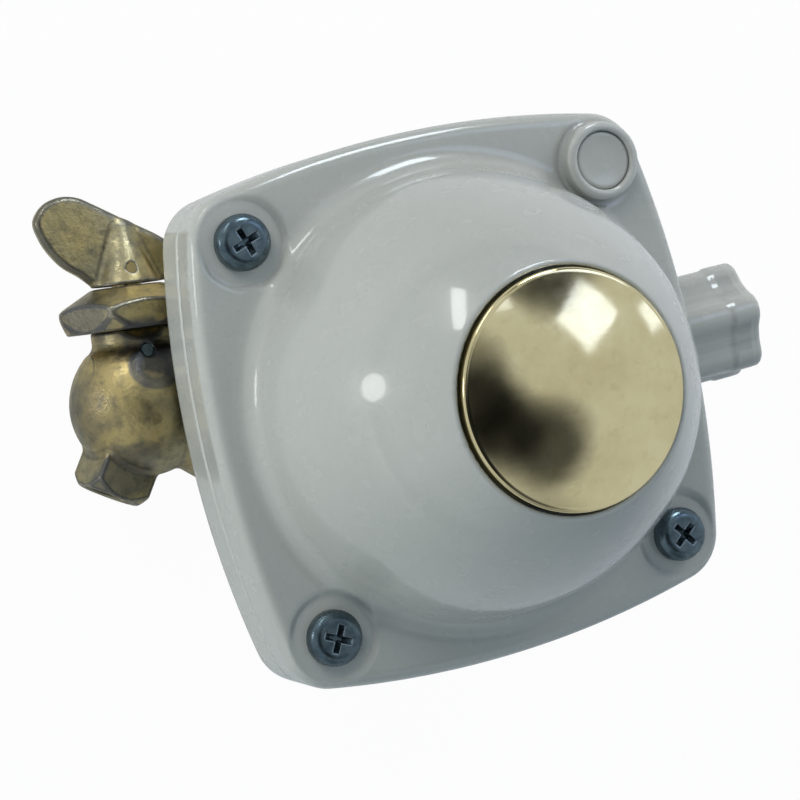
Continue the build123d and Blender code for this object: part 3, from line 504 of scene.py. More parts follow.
def handle_field(p):
    """Thumb leaf on its hub, with the bore of the spindle and of the pin."""
    s, away = along(p, BALL, SPINDLE_WAY)
    d = [p[i] - BALL[i] for i in range(3)]
    a = d[0] * SPINDLE_SIDE[0] + d[1] * SPINDLE_SIDE[1]
    leaf = meet(polygon_distance(a, s, LEAF), np.abs(d[2]) - LEAF_HALF, r=1.1)
    rise = s - HANDLE_FOOT
    hub = (away - (HUB_R - rise * HUB_TAPER)) * HUB_SCALE
    hub = meet(hub, rise - HUB_HEIGHT, r=0.8)
    body = join(leaf, hub, r=1.0)
    body = meet(body, -rise, r=0.25)
    body = without(body, np.maximum(away - HUB_BORE_R, rise - HUB_BORE_TOP))
    _, off = along(p, BALL + SPINDLE_WAY * (HANDLE_FOOT + PIN_AT), UP)
    return np.maximum(body, PIN_R - off)


def screw_field(p):
    """One cover screw on its land, its cross recess narrowing towards the floor."""
    x, y, z = p
    away = np.hypot(x, y)
    head = meet(away - HEAD_R, z - HEAD_TOP, r=HEAD_CROWN)
    head = meet(head, -z, r=0.15)
    head = np.minimum(head, np.maximum(away - SHANK_R, between(z, SHANK_FOOT, SHANK_TOP)))
    depth = HEAD_TOP - z
    wing = RECESS_WING - depth * WING_TAPER
    half = RECESS_HALF - depth * HALF_TAPER
    one = np.maximum(np.abs(x) - wing, np.abs(y) - half)
    two = np.maximum(np.abs(y) - wing, np.abs(x) - half)
    cross = np.maximum(np.minimum(one, two), depth - RECESS_DEPTH)
    return cut(head, cross * RECESS_SCALE, r=0.12)


# ---- Meshing ---------------------------------------------------------------------------
SLAB = 24  # grid planes worked out at one time
ROUNDS = 3  # steps that draw the points on to the surface
PROBE = 0.2  # of a grid step, for slopes
LEAST_SLOPE = 0.25
LONGEST_MOVE = 0.5  # of a grid step
TINY = 1e-9
CURVE_LIMIT = 2.0


def sample(field, low, step, shape):
    """Field values on a grid, one slab at a time."""
    axes = [(low[i] + step * np.arange(shape[i])).astype(np.float32) for i in range(3)]
    out = np.empty(shape, np.float32)
    for k in range(0, shape[0], SLAB):
        x, y, z = np.meshgrid(axes[0][k : k + SLAB], axes[1], axes[2], indexing="ij")
        out[k : k + SLAB] = field((x, y, z))
    return out


def slope(field, pts, h):
    """Gradient of a field at some points."""
    grads = []
    for i in range(3):
        step = np.zeros(3)
        step[i] = h
        hi = field(tuple((pts + step).T))
        lo = field(tuple((pts - step).T))
        grads.append((hi - lo) / (2 * h))
    return np.array(grads).T


def bend(field, pts, h):
    """Sum of the two curvatures of the surface: above 0 on edges, below 0 in hollows."""
    total = -6 * field(tuple(pts.T))
    for i in range(3):
        step = np.zeros(3)
        step[i] = h
        total = total + field(tuple((pts + step).T)) + field(tuple((pts - step).T))
    return np.clip(total / (h * h), -CURVE_LIMIT, CURVE_LIMIT)


def crossings(grid, where, low, step):
    """Mean of the places where the field changes sign on the edges of some grid cells."""
    total = np.zeros((len(where), 3))
    hits = np.zeros(len(where))
    for axis in range(3):
        others = [a for a in range(3) if a != axis]
        for m in (0, 1):
            for n in (0, 1):
                a = where.copy()
                a[:, others[0]] += m
                a[:, others[1]] += n
                b = a.copy()
                b[:, axis] += 1
                fa = grid[a[:, 0], a[:, 1], a[:, 2]].astype(float)
                fb = grid[b[:, 0], b[:, 1], b[:, 2]].astype(float)
                change = (fa < 0) != (fb < 0)
                t = np.where(change, fa / np.where(change, fa - fb, 1), 0)
                point = a.astype(float)
                point[:, axis] += t
                total[change] += point[change]
                hits[change] += 1
    return low + total / hits[:, None] * step


def net(inside, number):
    """Quads between the cells round each grid edge that crosses the surface."""
    quads = []
    for axis in range(3):
        b, c = [(1, 2), (2, 0), (0, 1)][axis]
        first = [slice(1, -1)] * 3
        first[axis] = slice(0, -1)
        second = list(first)
        second[axis] = slice(1, None)
        where = np.argwhere(inside[tuple(first)] != inside[tuple(second)])
        offset = [1, 1, 1]
        offset[axis] = 0
        where = where + np.array(offset)
        out = inside[where[:, 0], where[:, 1], where[:, 2]]
        ring = []
        for m, n in ((-1, -1), (0, -1), (0, 0), (-1, 0)):
            cell = where.copy()
            cell[:, b] += m
            cell[:, c] += n
            ring.append(number[cell[:, 0], cell[:, 1], cell[:, 2]])
        quad = np.array(ring).T
        quad[~out] = quad[~out][:, ::-1]
        quads.append(quad)
    return np.concatenate(quads)


def surface(field, low, high, step):
    """Surface-net mesh of a field, its points drawn on to the true surface."""
    low = np.array(low, float) - step
    shape = [int(np.ceil((high[i] - low[i]) / step)) + 2 for i in range(3)]
    grid = sample(field, low, step, shape)
    inside = grid < 0
    cells = [n - 1 for n in shape]
    count = np.zeros(cells, np.int8)
    for i in (0, 1):
        for j in (0, 1):
            for k in (0, 1):
                count += inside[i : i + cells[0], j : j + cells[1], k : k + cells[2]]
    mixed = (count > 0) & (count < 8)
    where = np.argwhere(mixed)
    number = np.full(cells, -1, np.int64)
    number[mixed] = np.arange(len(where))
    pts = crossings(grid, where, low, step)
    for _ in range(ROUNDS):
        g = slope(field, pts, step * PROBE)
        f = field(tuple(pts.T))
        move = g * (f / np.maximum((g * g).sum(1), LEAST_SLOPE))[:, None]
        length = np.linalg.norm(move, axis=1)
        move *= np.minimum(1, LONGEST_MOVE * step / np.maximum(length, TINY))[:, None]
        pts -= move
    return pts, net(inside, number)


def piece(name, pts, faces, body, slot, curve=None):
    """Object from points in mm and equal-sided faces, riding on a body."""
    sides = faces.shape[1]
    mesh = bpy.data.meshes.new(name)
    mesh.vertices.add(len(pts))
    mesh.vertices.foreach_set("co", np.asarray(pts * MM + AXIS, np.float32).ravel())
    mesh.loops.add(faces.size)
    mesh.loops.foreach_set("vertex_index", faces.ravel().astype(np.int32))
    mesh.polygons.add(len(faces))
    mesh.polygons.foreach_set("loop_start", np.arange(0, faces.size, sides, dtype=np.int32))
    mesh.update(calc_edges=True)
    mesh.validate()
    mesh.polygons.foreach_set("use_smooth", np.ones(len(mesh.polygons), bool))
    layer = mesh.attributes.new("curve", "FLOAT", "POINT")
    if curve is not None and len(curve) == len(mesh.vertices):
        layer.data.foreach_set("value", np.asarray(curve, np.float32))
    mesh.materials.append(MATERIALS[slot])
    obj = bpy.data.objects.new(name, mesh)
    bpy.context.scene.collection.objects.link(obj)
    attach(obj, body)
    return obj


def lathe(name, profile, turns, body, slot, centre=(0, 0, 0)):
    """Ring mesh from (radius, height) points, mm, closed at both ends on the axis."""
    angles = np.linspace(0, 2 * pi, turns, endpoint=False)
    r = np.array([q[0] for q in profile])
    z = np.array([q[1] for q in profile])
    x = r[:, None] * np.cos(angles)
    y = r[:, None] * np.sin(angles)
    pts = np.stack([x, y, np.repeat(z[:, None], turns, 1)], -1).reshape(-1, 3)
    i, j = np.meshgrid(np.arange(len(r) - 1), np.arange(turns), indexing="ij")
    n = (j + 1) % turns
    quads = np.stack([i * turns + j, i * turns + n, (i + 1) * turns + n, (i + 1) * turns + j], -1)
    return piece(name, pts + np.array(centre), quads.reshape(-1, 4), body, slot)


# ---- Nodes of materials, world and floor -----------------------------------------------
class Tree:
    """Small helper around a node tree."""

    def __init__(self, tree):
        self.tree = tree

    def feed(self, socket, value):
        if isinstance(value, bpy.types.NodeSocket):
            self.tree.links.new(value, socket)
        else:
            socket.default_value = value

    def node(self, kind, **inputs):
        made = self.tree.nodes.new(kind)
        for key, value in inputs.items():
            self.feed(made.inputs[key.replace("_", " ")], value)
        return made

    def math(self, operation, a, b):
        made = self.tree.nodes.new("ShaderNodeMath")
        made.operation = operation
        self.feed(made.inputs[0], a)
        self.feed(made.inputs[1], b)
        return made.outputs[0]

    def vector(self, operation, value, point):
        made = self.tree.nodes.new("ShaderNodeVectorMath")
        made.operation = operation
        self.feed(made.inputs[0], value)
        made.inputs[1].default_value = tuple(point)
        return made.outputs["Value"]

    def ramp(self, value, low, high, start=0.0, end=1.0, smooth=False):
        made = self.tree.nodes.new("ShaderNodeMapRange")
        if smooth:
            made.interpolation_type = "SMOOTHSTEP"
        self.feed(made.inputs["Value"], value)
        made.inputs["From Min"].default_value = low
        made.inputs["From Max"].default_value = high
        made.inputs["To Min"].default_value = start
        made.inputs["To Max"].default_value = end
        return made.outputs["Result"]

    def mix(self, factor, a, b):
        """Colour between two colours."""
        made = self.tree.nodes.new("ShaderNodeMix")
        made.data_type = "RGBA"
        self.feed(made.inputs[0], factor)
        for index, value in ((6, a), (7, b)):
            self.feed(made.inputs[index], (*value, 1.0) if isinstance(value, tuple) else value)
        return made.outputs[2]

    def choose(self, factor, a, b):
        """Shader between two shaders."""
        made = self.tree.nodes.new("ShaderNodeMixShader")
        for socket, value in zip(made.inputs, (factor, a, b)):
            self.feed(socket, value)
        return made.outputs[0]


class Recipe(Tree):
    """Material on the Principled shader, in the object's own coordinates."""

    def __init__(self, name):
        self.material = bpy.data.materials.new(name)
        self.material.use_nodes = True
        super().__init__(self.material.node_tree)
        self.shader = self.tree.nodes["Principled BSDF"]
        self.place = self.node("ShaderNodeTexCoord").outputs["Object"]

    def noise(self, scale, detail=3.0, rough=0.5, stretch=None):
        place = self.place
        if stretch:
            place = self.node("ShaderNodeMapping", Vector=place, Scale=stretch).outputs["Vector"]
        made = self.node("ShaderNodeTexNoise", Vector=place, Scale=scale, Detail=detail)
        made.inputs["Roughness"].default_value = rough
        return made.outputs["Fac"]

    def curve(self):
        """Curvature that the skins carry."""
        made = self.tree.nodes.new("ShaderNodeAttribute")
        made.attribute_name = "curve"
        return made.outputs["Fac"]

    def tint(self, color, where, amount, other):
        """Another colour mixed in where a mask is set."""
        return self.mix(self.math("MULTIPLY", where, amount), color, other)

    def bump(self, *heights):
        """Stack of (height, distance in metres, strength)."""
        normal = None
        for height, distance, strength in heights:
            made = self.node("ShaderNodeBump", Height=height, Distance=distance, Strength=strength)
            if normal is not None:
                self.feed(made.inputs["Normal"], normal)
            normal = made.outputs["Normal"]
        self.feed(self.shader.inputs["Normal"], normal)

    def finish(self, color, rough, **fixed):
        self.feed(self.shader.inputs["Base Color"], color)
        self.feed(self.shader.inputs["Roughness"], rough)
        for key, value in fixed.items():
            self.shader.inputs[key.replace("_", " ")].default_value = value
        return self.material


# ---- Materials -------------------------------------------------------------------------
def paint_material():
    """Grey stoving paint: fine grain, painted shade in hollows, and paler edges that are partly
    wear and partly a painted highlight, under a clear gloss.
    """
    deep, pale = (0.41, 0.42, 0.39), (0.46, 0.465, 0.43)
    grain_color, speck_color = (0.34, 0.36, 0.35), (0.28, 0.29, 0.29)
    hollow_shade_color, edge_reflection_tone = (0.20, 0.21, 0.22), (0.60, 0.61, 0.58)
    m = Recipe("grey_paint")
    color = m.mix(m.ramp(m.noise(28.0, 3.0), 0.2, 0.8), deep, pale)
    color = m.mix(m.ramp(m.noise(1100.0, 4.0, 0.7), 0.25, 0.75, 0.0, 0.30), color, grain_color)
    color = m.tint(color, m.ramp(m.noise(1900.0, 2.0, 0.7), 0.64, 0.74), 0.4, speck_color)
    # Painted shade: darker in hollows and coves, by curvature.
    color = m.tint(color, m.ramp(m.curve(), -0.9, -0.12, 1.0, 0.0), 0.30, hollow_shade_color)
    # Paler edges by curvature: partly paint wear, partly a painted highlight.
    color = m.tint(color, m.ramp(m.curve(), 0.35, 1.2), 0.25, edge_reflection_tone)
    rough = m.ramp(m.noise(160.0, 3.0), 0.1, 0.9, 0.20, 0.32)
    m.bump((m.noise(420.0, 2.0), 0.00012, 0.25), (m.noise(1500.0, 2.0), 0.00003, 0.35))
    return m.finish(color, rough, Coat_Weight=0.7, Coat_Roughness=0.07, Specular_IOR_Level=0.3)


def cap_material():
    """Polished brass with dull patches and fine scratches."""
    bright, stained, dull_color = (0.80, 0.69, 0.40), (0.70, 0.59, 0.32), (0.52, 0.42, 0.22)
    m = Recipe("polished_brass")
    color = m.mix(m.ramp(m.noise(95.0, 4.0, 0.6), 0.38, 0.68), bright, stained)
    color = m.tint(color, m.ramp(m.noise(420.0, 3.0, 0.6), 0.55, 0.75), 0.3, dull_color)
    rough = m.ramp(m.noise(260.0, 3.0), 0.3, 0.7, 0.08, 0.15)
    scratch = m.noise(700.0, 3.0, 0.6, (0.12, 1.0, 1.0))
    m.bump((scratch, 0.00002, 0.25), (m.noise(70.0, 2.0), 0.0004, 0.35))
    return m.finish(color, rough, Metallic=1.0)


# Painted shade on the cock, partly dark oxide (mm): round the lock screw, on top of the square
# nose, and at the far side of nut and ball. Each has its centre, edges of the fade and depth.
SHADE_PATCHES = [
    (BALL + SPINDLE_WAY * 9.6 + UP * 10.5, 3.6, 6.6, 0.85),
    (BALL + NOSE_WAY * 13.5 + UP * 8.5, 5.2, 7.2, 0.50),
    (BALL + SPINDLE_WAY * 15.0 - SPINDLE_SIDE * 10.0 + UP * 5.5, 4.0, 7.0, 0.60),
    (BALL - SPINDLE_SIDE * 11.5 + UP * 4.0, 4.5, 8.0, 0.45),
]
RAGGED = 1.8  # mm, how far the edge of a shade patch wanders


def cast_material():
    """Rough cast brass: golden patches, oxide, a painted dark reflection on edges, paler sharpest
    edges (partly wear, partly a painted highlight), painted shade in hollows and painted shade
    patches that are partly dark oxide.
    """
    light, dark, golden_color = (0.46, 0.395, 0.225), (0.33, 0.295, 0.18), (0.56, 0.43, 0.17)
    oxide_color, edge_reflection_tone = (0.13, 0.13, 0.105), (0.14, 0.14, 0.13)
    wear_and_sheen_color, crevice_shade_color = (0.55, 0.50, 0.36), (0.06, 0.06, 0.055)
    shade_patch_color = (0.085, 0.092, 0.105)
    m = Recipe("cast_brass")
    color = m.mix(m.ramp(m.noise(170.0, 4.0, 0.6), 0.3, 0.7), light, dark)
    color = m.tint(color, m.ramp(m.noise(62.0, 2.0, 0.5), 0.42, 0.60), 0.7, golden_color)
    color = m.tint(color, m.ramp(m.noise(520.0, 5.0, 0.65), 0.46, 0.70), 0.6, oxide_color)
    # Painted dark reflection on edges, by curvature.
    color = m.tint(color, m.ramp(m.curve(), 0.25, 1.0), 0.8, edge_reflection_tone)
    # Paler sharpest edges: partly wear, partly a painted highlight.
    color = m.tint(color, m.ramp(m.curve(), 1.5, 2.0), 0.4, wear_and_sheen_color)
    # Painted shade in hollows, by curvature.
    color = m.tint(color, m.ramp(m.curve(), -1.2, -0.15, 1.0, 0.0), 0.7, crevice_shade_color)
    # Painted shade patches, partly dark oxide, darken the brass round each centre.
    for centre, inner, outer, depth in SHADE_PATCHES:
        away = m.vector("DISTANCE", m.place, AXIS + centre * MM)
        wander = m.ramp(m.noise(220.0, 4.0), 0.3, 0.7, -RAGGED * MM, RAGGED * MM)
        shade_patch = m.ramp(m.math("ADD", away, wander), inner * MM, outer * MM, depth, 0.0)
        color = m.mix(shade_patch, color, shade_patch_color)
    rough = m.ramp(m.noise(380.0, 4.0), 0.3, 0.7, 0.28, 0.50)
    m.bump((m.noise(620.0, 4.0, 0.6), 0.00018, 0.6), (m.noise(2400.0, 2.0), 0.00006, 0.6))
    return m.finish(color, rough, Metallic=1.0)


def machined_material():
    """Turned brass with fine tool marks."""
    light, dark = (0.78, 0.64, 0.33), (0.66, 0.52, 0.25)
    m = Recipe("machined_brass")
    color = m.mix(m.ramp(m.noise(240.0, 3.0), 0.35, 0.65), light, dark)
    rough = m.ramp(m.noise(600.0, 3.0, 0.5, (1.0, 1.0, 8.0)), 0.3, 0.7, 0.18, 0.34)
    m.bump((m.noise(900.0, 2.0, 0.5, (1.0, 1.0, 12.0)), 0.00002, 0.4))
    return m.finish(color, rough, Metallic=1.0)


def steel_material():
    """Plated steel of springs, pins and plate."""
    light, dark = (0.62, 0.63, 0.64), (0.50, 0.51, 0.53)
    m = Recipe("plated_steel")
    color = m.mix(m.ramp(m.noise(300.0, 3.0), 0.35, 0.65), light, dark)
    rough = m.ramp(m.noise(700.0, 3.0), 0.3, 0.7, 0.22, 0.40)
    m.bump((m.noise(1200.0, 2.0), 0.00002, 0.4))
    return m.finish(color, rough, Metallic=1.0)


def black_material():
    """Blackened screws, paler on their edges: partly wear, partly a painted highlight."""
    dark, light, wear_and_sheen_color = (0.065, 0.095, 0.115), (0.12, 0.165, 0.185), (0.30, 0.36, 0.42)
    m = Recipe("blackened_steel")
    color = m.mix(m.ramp(m.noise(500.0, 3.0), 0.35, 0.65), dark, light)
    # Paler crown edges: partly wear, partly a painted highlight.
    color = m.tint(color, m.ramp(m.curve(), 0.8, 2.0), 0.6, wear_and_sheen_color)
    rough = m.ramp(m.noise(900.0, 3.0), 0.3, 0.7, 0.18, 0.34)
    m.bump((m.noise(1600.0, 3.0), 0.00003, 0.5))
    return m.finish(color, rough, Metallic=0.85)


def rubber_material():
    """Black nitrile rubber."""
    dark, light = (0.022, 0.022, 0.023), (0.040, 0.040, 0.042)
    m = Recipe("nitrile_rubber")
    color = m.mix(m.ramp(m.noise(400.0, 3.0), 0.35, 0.65), dark, light)
    m.bump((m.noise(1300.0, 3.0), 0.00004, 0.5))
    return m.finish(color, m.ramp(m.noise(500.0), 0.3, 0.7, 0.55, 0.75))


MATERIALS = {
    "paint": paint_material(),
    "polished_brass": cap_material(),
    "cast_brass": cast_material(),
    "machined_brass": machined_material(),
    "steel": steel_material(),
    "black_steel": black_material(),
    "rubber": rubber_material(),
}
for part in frame["record"]["subparts"]:
    mesh = nodes[part["node"]].data
    mesh.materials.clear()
    mesh.materials.append(MATERIALS[part["material_slot"]])


# ---- Skins -----------------------------------------------------------------------------
# A skin's piece, field, CAD node, grid step, body, slot and probe of its curvature (mm)
SKINS = [
    ("bonnet_casting", bonnet_field, "bonnet", 0.5, "housing", "paint", 0.5),
    ("body_casting", body_field, "lower_body", 0.6, "housing", "paint", 0.5),
    ("cock_casting", cock_field, "cock_body", 0.3, "housing", "cast_brass", 0.35),
    ("gland_hexagon", nut_field, "gland_nut", 0.25, "housing", "cast_brass", 0.3),
    ("thumb_leaf", handle_field, "cock_handle", 0.25, "handle", "cast_brass", 0.35),
]
SCREW_STEP = 0.13
SCREW_PROBE = 0.2
SCREW_ROOM = 0.1  # between a screw and the edge of its grid
CROWN_RINGS = 60
ROLL_RINGS = 7
UNDER_RINGS = 24
CAP_SIDES = 192
SEAL_SIDES = 72
THREAD_SIDES = 40  # for each turn


def skins():
    """Cast skins in place of their CAD nodes, and inside the nodes' boxes."""
    coarse = 1.0
    for name, field, node, step, body, slot, probe in SKINS:
        low, high = [(np.array(corner) - AXIS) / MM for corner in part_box(node)]
        pts, quads = surface(field, low, high, step * coarse)
        pts = np.clip(pts, low, high)
        obj = piece(name, pts, quads, body, slot, bend(field, pts, probe))
        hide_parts(node)


def turned(pts, angle):
    """Points turned about the z axis."""
    c, s = cos(angle), sin(angle)
    x, y, z = pts.T
    return np.stack([x * c - y * s, x * s + y * c, z], -1)


def screws():
    """The three open cover screws, each turned its own way."""
    wide = HEAD_R + SCREW_ROOM
    low = (-wide, -wide, SHANK_FOOT - SCREW_ROOM)
    high = (wide, wide, HEAD_TOP + SCREW_ROOM)
    pts, quads = surface(screw_field, low, high, SCREW_STEP)
    curve = bend(screw_field, pts, SCREW_PROBE)
    all_pts, all_quads = [], []
    for k, ((x, y), turn) in enumerate(zip(CORNERS, SCREW_TURNS)):
        all_pts.append(turned(pts, radians(turn)) + np.array([x, y, LAND_Z]))
        all_quads.append(quads + k * len(pts))
    obj = piece(
        "pan_screws",
        np.concatenate(all_pts),
        np.concatenate(all_quads),
        "housing",
        "black_steel",
        np.tile(curve, len(CORNERS)),
    )
    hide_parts("cover_screws")


def cap_disc():
    """Convex brass cap with a rolled rim, hollow underneath."""
    crown_r = (CAP_R**2 + CAP_RISE**2) / (2 * CAP_RISE)
    centre = CAP_TOP - crown_r
    roll_at = CAP_R - CAP_ROLL_R
    inner = CAP_R - CAP_THICK
    top = [(r, centre + sqrt(crown_r**2 - r * r)) for r in np.linspace(0.0, roll_at, CROWN_RINGS)]
    edge = top[-1][1] - CAP_ROLL_R
    for t in np.linspace(15, 90, ROLL_RINGS):
        top.append((roll_at + CAP_ROLL_R * sin(radians(t)), edge + CAP_ROLL_R * cos(radians(t))))
    side = [(CAP_R, CAP_FOOT + rise) for rise in (2.1, 1.1, CAP_CHAMFER)]
    foot = [(CAP_R - CAP_CHAMFER, CAP_FOOT), (inner + CAP_CHAMFER, CAP_FOOT)]
    under = [(inner, CAP_FOOT + CAP_CHAMFER), (inner, CAP_FOOT + CAP_WALL)]
    for r in np.linspace(inner - CAP_HOLLOW_R, 0.0, UNDER_RINGS):
        under.append((r, centre + sqrt((crown_r - CAP_THICK) ** 2 - r * r)))
    profile = (top + side + foot + under)[::-1]
    obj = lathe("cap_disc", profile, CAP_SIDES, "cap", "polished_brass")
    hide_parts("cap")


def seal_disc():
    """Painted disc in the raised collar, slightly dished."""
    foot = [(0.0, SEAL_FOOT), (SEAL_R - 0.05, SEAL_FOOT), (SEAL_R, SEAL_FOOT + 0.3)]
    rim = [(SEAL_R, SEAL_TOP - 0.4), (SEAL_R - 0.25, SEAL_TOP - 0.05), (SEAL_R - 0.75, SEAL_TOP)]
    dish = [(4.0, SEAL_TOP - 0.1), (2.0, SEAL_TOP - 0.18), (0.0, SEAL_TOP - 0.2)]
    obj = lathe("seal_disc", foot + rim + dish, SEAL_SIDES, "housing", "paint", (*SEALED, 0))
    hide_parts("seal_plug")


def thread(name, mouth, way, radius, sizes, slot):
    """Screw thread standing in from the wall of a bore, which runs in against its way."""
    depth, pitch, length = sizes
    side = np.cross(way, UP)
    count = int(length / pitch * THREAD_SIDES)
    rings = []
    for k in range(count + 1):
        turns = k / THREAD_SIDES
        angle = 2 * pi * turns
        fade = min(1.0, turns, count / THREAD_SIDES - turns)
        out = UP * cos(angle) + side * sin(angle)
        base = mouth - way * (THREAD_LEAD + pitch * turns)
        for h, w in THREAD_SECTION:
            rings.append(base + out * (radius + depth * h * fade) + way * (w * pitch))
    faces = []
    for k in range(count):
        for j in range(4):
            n = (j + 1) % 4
            faces.append((k * 4 + j, k * 4 + n, (k + 1) * 4 + n, (k + 1) * 4 + j))
    piece(name, np.array(rings), np.array(faces), "housing", slot)


def threads():
    """Threads of the outlet and the inlet."""
    outlet = np.array([OUTLET_END, OUTLET_Y, OUTLET_Z])
    out_way = np.array([1.0, 0.0, 0.0])
    thread("outlet_thread", outlet, out_way, OUTLET_BORE_R, OUTLET_THREAD, "paint")
    inlet = BALL + NOSE_WAY * NOSE_END
    thread("inlet_thread", inlet, NOSE_WAY, INLET_BORE_R, INLET_THREAD, "cast_brass")


# ---- Parts that flex -------------------------------------------------------------------
def flexing(name, node, cuts):
    """Part of a CAD node inside some planes, as an object of its own."""
    mesh = nodes[node].data.copy()
    work = bmesh.new()
    work.from_mesh(mesh)
    for point, normal in cuts:
        everything = work.verts[:] + work.edges[:] + work.faces[:]
        bmesh.ops.bisect_plane(
            work, geom=everything, dist=1e-7, plane_co=point, plane_no=normal, clear_outer=True
        )
    work.to_mesh(mesh)
    work.free()
    obj = bpy.data.objects.new(name, mesh)
    bpy.context.scene.collection.objects.link(obj)
    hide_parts(node)
    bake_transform(obj)


def spring_ends(node):
    """Both ends of a spring, on the housing axis."""
    low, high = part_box(node)
    return Vector((*AXIS[:2], low.z)), Vector((*AXIS[:2], high.z))


def springs():
    """Main spring cut into three coils at its quarter and middle, and the relief spring as one
    coil.
    """
    foot, top = spring_ends("main_spring")
    middle = (foot + top) / 2
    quarter = (foot + middle) / 2
    up = Vector(UP)
    stretches = [
        ("main_coil_foot", [(quarter, up)], ("plate", "stem"), foot, quarter),
        ("main_coil_low", [(quarter, -up), (middle, up)], ("stem", "housing"), quarter, middle),
        ("main_coil_top", [(middle, -up)], ("housing", "button"), middle, top),
    ]
    for name, cuts, bodies, start, end in stretches:
        flexing(name, "main_spring", cuts)
    foot, top = spring_ends("relief_spring")
    flexing("relief_coil", "relief_spring", [])


def diaphragm():
    """Rubber disc cut into sectors."""
    centre = Vector(AXIS)
    half = pi / SECTORS
    for k in range(SECTORS):
        turn = 2 * half * k
        cuts = [
            (centre, Vector((-sin(turn + half), cos(turn + half), 0))),
            (centre, Vector((sin(turn - half), -cos(turn - half), 0))),
        ]
        flexing(f"diaphragm_{k}", "diaphragm", cuts)


skins()
screws()
cap_disc()
seal_disc()
threads()
springs()
diaphragm()


# ---- Camera ----------------------------------------------------------------------------
LENS = 105.9  # mm
SENSOR = 36.0  # mm
CAMERA_RANGE = (0.01, 20.0)
CAMERA_PLACE = (-0.1051, 0.03777, 0.40175)
CAMERA_RIGHT = Vector((0.8965, -0.2223, 0.3832))
CAMERA_DOWN = Vector((-0.2357, -0.9718, -0.0122))


def camera():
    data = bpy.data.cameras.new("camera")
    data.lens = LENS
    data.sensor_width = SENSOR
    data.clip_start, data.clip_end = CAMERA_RANGE
    right = CAMERA_RIGHT.normalized()
    back = right.cross(-CAMERA_DOWN.normalized()).normalized()
    turn = Matrix((right, back.cross(right), back)).transposed().to_4x4()
    obj = bpy.data.objects.new("camera", data)
    obj.matrix_world = Matrix.Translation(CAMERA_PLACE) @ turn
    bpy.context.scene.collection.objects.link(obj)
    bpy.context.scene.camera = obj


# ---- Light, floor and background -------------------------------------------------------
MIDDLE = Vector((0.058, 0.004, 0.030))
PLAIN = (1.0, 1.0, 1.0)
COOL = (0.85, 0.93, 1.0)
BLUISH = (0.50, 0.62, 1.0)
NEAR_WAY = 0.24  # distances from the part, metres
WINDOW_WAY = 0.50
MIRRORED_WAY = 0.60
PANEL_WAY = 0.90
PANEL = (0.5, 0.5)


def toward(azimuth, elevation):
    """Unit vector from the object towards a direction in degrees."""
    flat = cos(radians(elevation))
    return Vector(
        (cos(radians(azimuth)) * flat, sin(radians(azimuth)) * flat, sin(radians(elevation)))
    )


def aimed(
    name, direction, distance, size, glow, color=PLAIN, use="both", shape="RECTANGLE", roll=0
):
    """Soft lamp facing the part, as bright as a surface of that glow.

    The direction is azimuth and elevation. A lamp for "fill" doesn't show in gloss, and one
    that is "mirrored" shows there only.
    """
    data = bpy.data.lights.new(name, "AREA")
    data.shape = shape
    data.size, data.size_y = size
    area = size[0] * size[1] * (1.0 if shape == "RECTANGLE" else pi / 4)
    data.energy = glow * pi * area
    data.color = color
    way = toward(*direction)
    turn = way.to_track_quat("Z", "Y") @ Quaternion((0, 0, 1), radians(roll))
    obj = bpy.data.objects.new(name, data)
    obj.location = MIDDLE + way * distance
    obj.rotation_euler = turn.to_euler()
    obj.visible_glossy = use != "fill"
    obj.visible_diffuse = use != "mirrored"
    bpy.context.scene.collection.objects.link(obj)


def lights():
    """Small windows that gloss shows, and large soft panels that light the part."""
    aimed("side_window", (164, 1), WINDOW_WAY, (0.11, 0.08), 8.0, shape="ELLIPSE")
    aimed("back_window", (117, 18), WINDOW_WAY, (0.20, 0.042), 11.0, roll=32)
    aimed("high_window", (32, 50), MIRRORED_WAY, (0.19, 0.23), 1.75, BLUISH, "mirrored")
    aimed("low_window", (11, 22), MIRRORED_WAY, (0.09, 0.13), 1.5, BLUISH, "mirrored")
    aimed("rim_window", (86, 53), MIRRORED_WAY, (0.07, 0.10), 1.0, BLUISH, "mirrored")
    aimed("edge_window", (69, 29), MIRRORED_WAY, (0.17, 0.19), 14.0, COOL, "mirrored")
    aimed("panel_key", (118, 34), PANEL_WAY, PANEL, 3.35, (1.0, 0.94, 0.85), "fill")
    aimed("panel_left", (193, 12), PANEL_WAY, PANEL, 3.9, (0.98, 1.0, 0.94), "fill")
    aimed("panel_right", (35, 12), PANEL_WAY, PANEL, 3.6, (1.0, 0.98, 1.0), "fill")
    aimed("near_right", (20, 28), NEAR_WAY, (0.10, 0.10), 2.8, (1.0, 0.97, 0.96), "fill")


# Darker parts of the room that polished metal shows: direction, edges of the fade, depth.
DARK_ZONES = [
    (-75, 66, 8, 23, 0.88),
    (-130, 73, 8, 22, 0.88),
    (-175, 70, 10, 25, 0.90),
    (140, 68, 5, 18, 0.60),
    (62, 28, 14, 28, 0.80),
    (60, 44, 7, 18, 0.75),
    (-95, 22, 10, 32, 0.60),
]
ROOM_COLOR = (0.86, 0.93, 1.0)
ROOM_LEVEL = 0.72
SOFT_COLOR = (0.66, 0.84, 1.0)
SOFT_LEVEL = 0.37


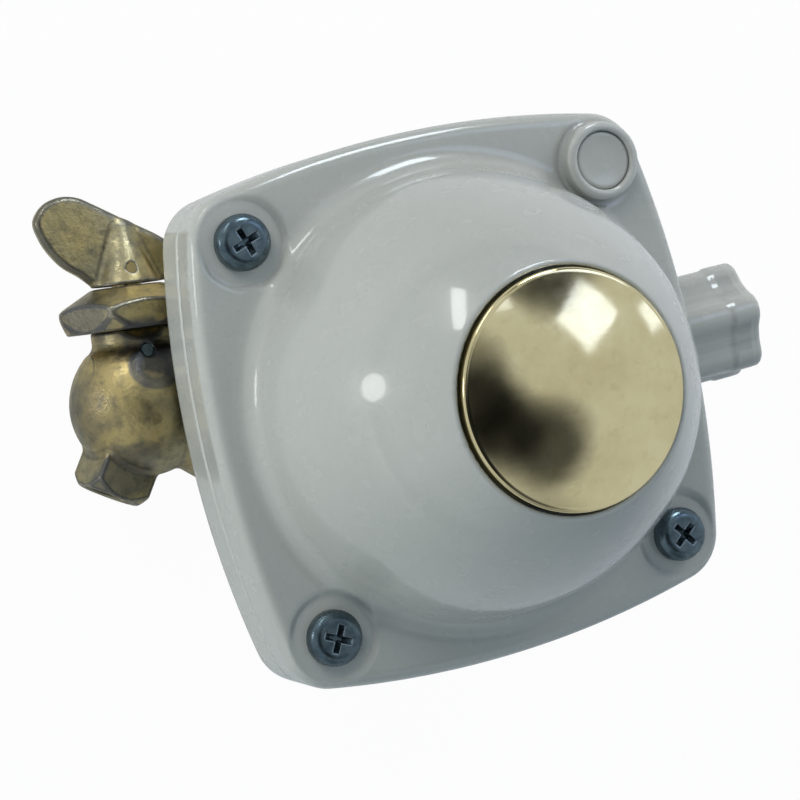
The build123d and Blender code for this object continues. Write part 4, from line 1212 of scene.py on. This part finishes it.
def background_world():
    """White for the camera, a studio room for reflections and a dim one for soft light."""
    world = bpy.data.worlds.new("studio")
    bpy.context.scene.world = world
    world.use_nodes = True
    t = Tree(world.node_tree)
    t.tree.nodes.clear()

    def backdrop(color, strength):
        return t.node("ShaderNodeBackground", Color=(*color, 1.0), Strength=strength).outputs[0]

    path = t.node("ShaderNodeLightPath").outputs
    direction = t.node("ShaderNodeTexCoord").outputs["Generated"]
    level = ROOM_LEVEL
    for azimuth, elevation, inner, outer, depth in DARK_ZONES:
        near = t.vector("DOT_PRODUCT", direction, toward(azimuth, elevation))
        edges = cos(radians(outer)), cos(radians(inner))
        level = t.math("MULTIPLY", level, t.ramp(near, *edges, 1.0, 1.0 - depth, smooth=True))
    white = backdrop(PLAIN, 1.0)
    soft = backdrop(SOFT_COLOR, SOFT_LEVEL)
    lit = t.choose(path["Is Glossy Ray"], soft, backdrop(ROOM_COLOR, level))
    lit = t.choose(path["Is Camera Ray"], lit, white)
    lit = t.choose(path["Is Transmission Ray"], lit, white)
    t.node("ShaderNodeOutputWorld", Surface=lit)


FLOOR_HALF = 6.0
FLOOR_GAP = 0.0002
FLOOR_TONES = ((0.80, 0.80, 0.80), (0.83, 0.83, 0.83))
FLOOR_GRAIN = 30.0
FLOOR_GLOW = 0.96  # how far the floor is plain white for the camera, the rest takes shadow
FLOOR_MIRRORED = 0.10  # share of that white in reflections


def floor():
    """Pale floor that keeps a soft shadow and fades to white for the camera."""
    z = cad_box[0][2] - FLOOR_GAP
    r = FLOOR_HALF
    mesh = bpy.data.meshes.new("floor")
    mesh.from_pydata([(-r, -r, z), (r, -r, z), (r, r, z), (-r, r, z)], [], [(0, 1, 2, 3)])
    obj = bpy.data.objects.new("floor", mesh)
    bpy.context.scene.collection.objects.link(obj)
    material = bpy.data.materials.new("floor_white")
    material.use_nodes = True
    t = Tree(material.node_tree)
    t.tree.nodes.clear()
    path = t.node("ShaderNodeLightPath").outputs
    seen = t.math("MAXIMUM", path["Is Camera Ray"], path["Is Transmission Ray"])
    mirrored = t.math("MULTIPLY", path["Is Glossy Ray"], FLOOR_MIRRORED)
    share = t.math("MULTIPLY", t.math("MAXIMUM", seen, mirrored), FLOOR_GLOW)
    grain = t.node("ShaderNodeTexNoise", Scale=FLOOR_GRAIN).outputs["Fac"]
    tone = t.mix(grain, *FLOOR_TONES)
    matte = t.node("ShaderNodeBsdfDiffuse", Color=tone).outputs[0]
    glow = t.node("ShaderNodeEmission", Strength=1.0).outputs[0]
    t.node("ShaderNodeOutputMaterial", Surface=t.choose(share, matte, glow))
    mesh.materials.append(material)


camera()
lights()
background_world()
floor()
bpy.context.scene.view_settings.view_transform = "Standard"
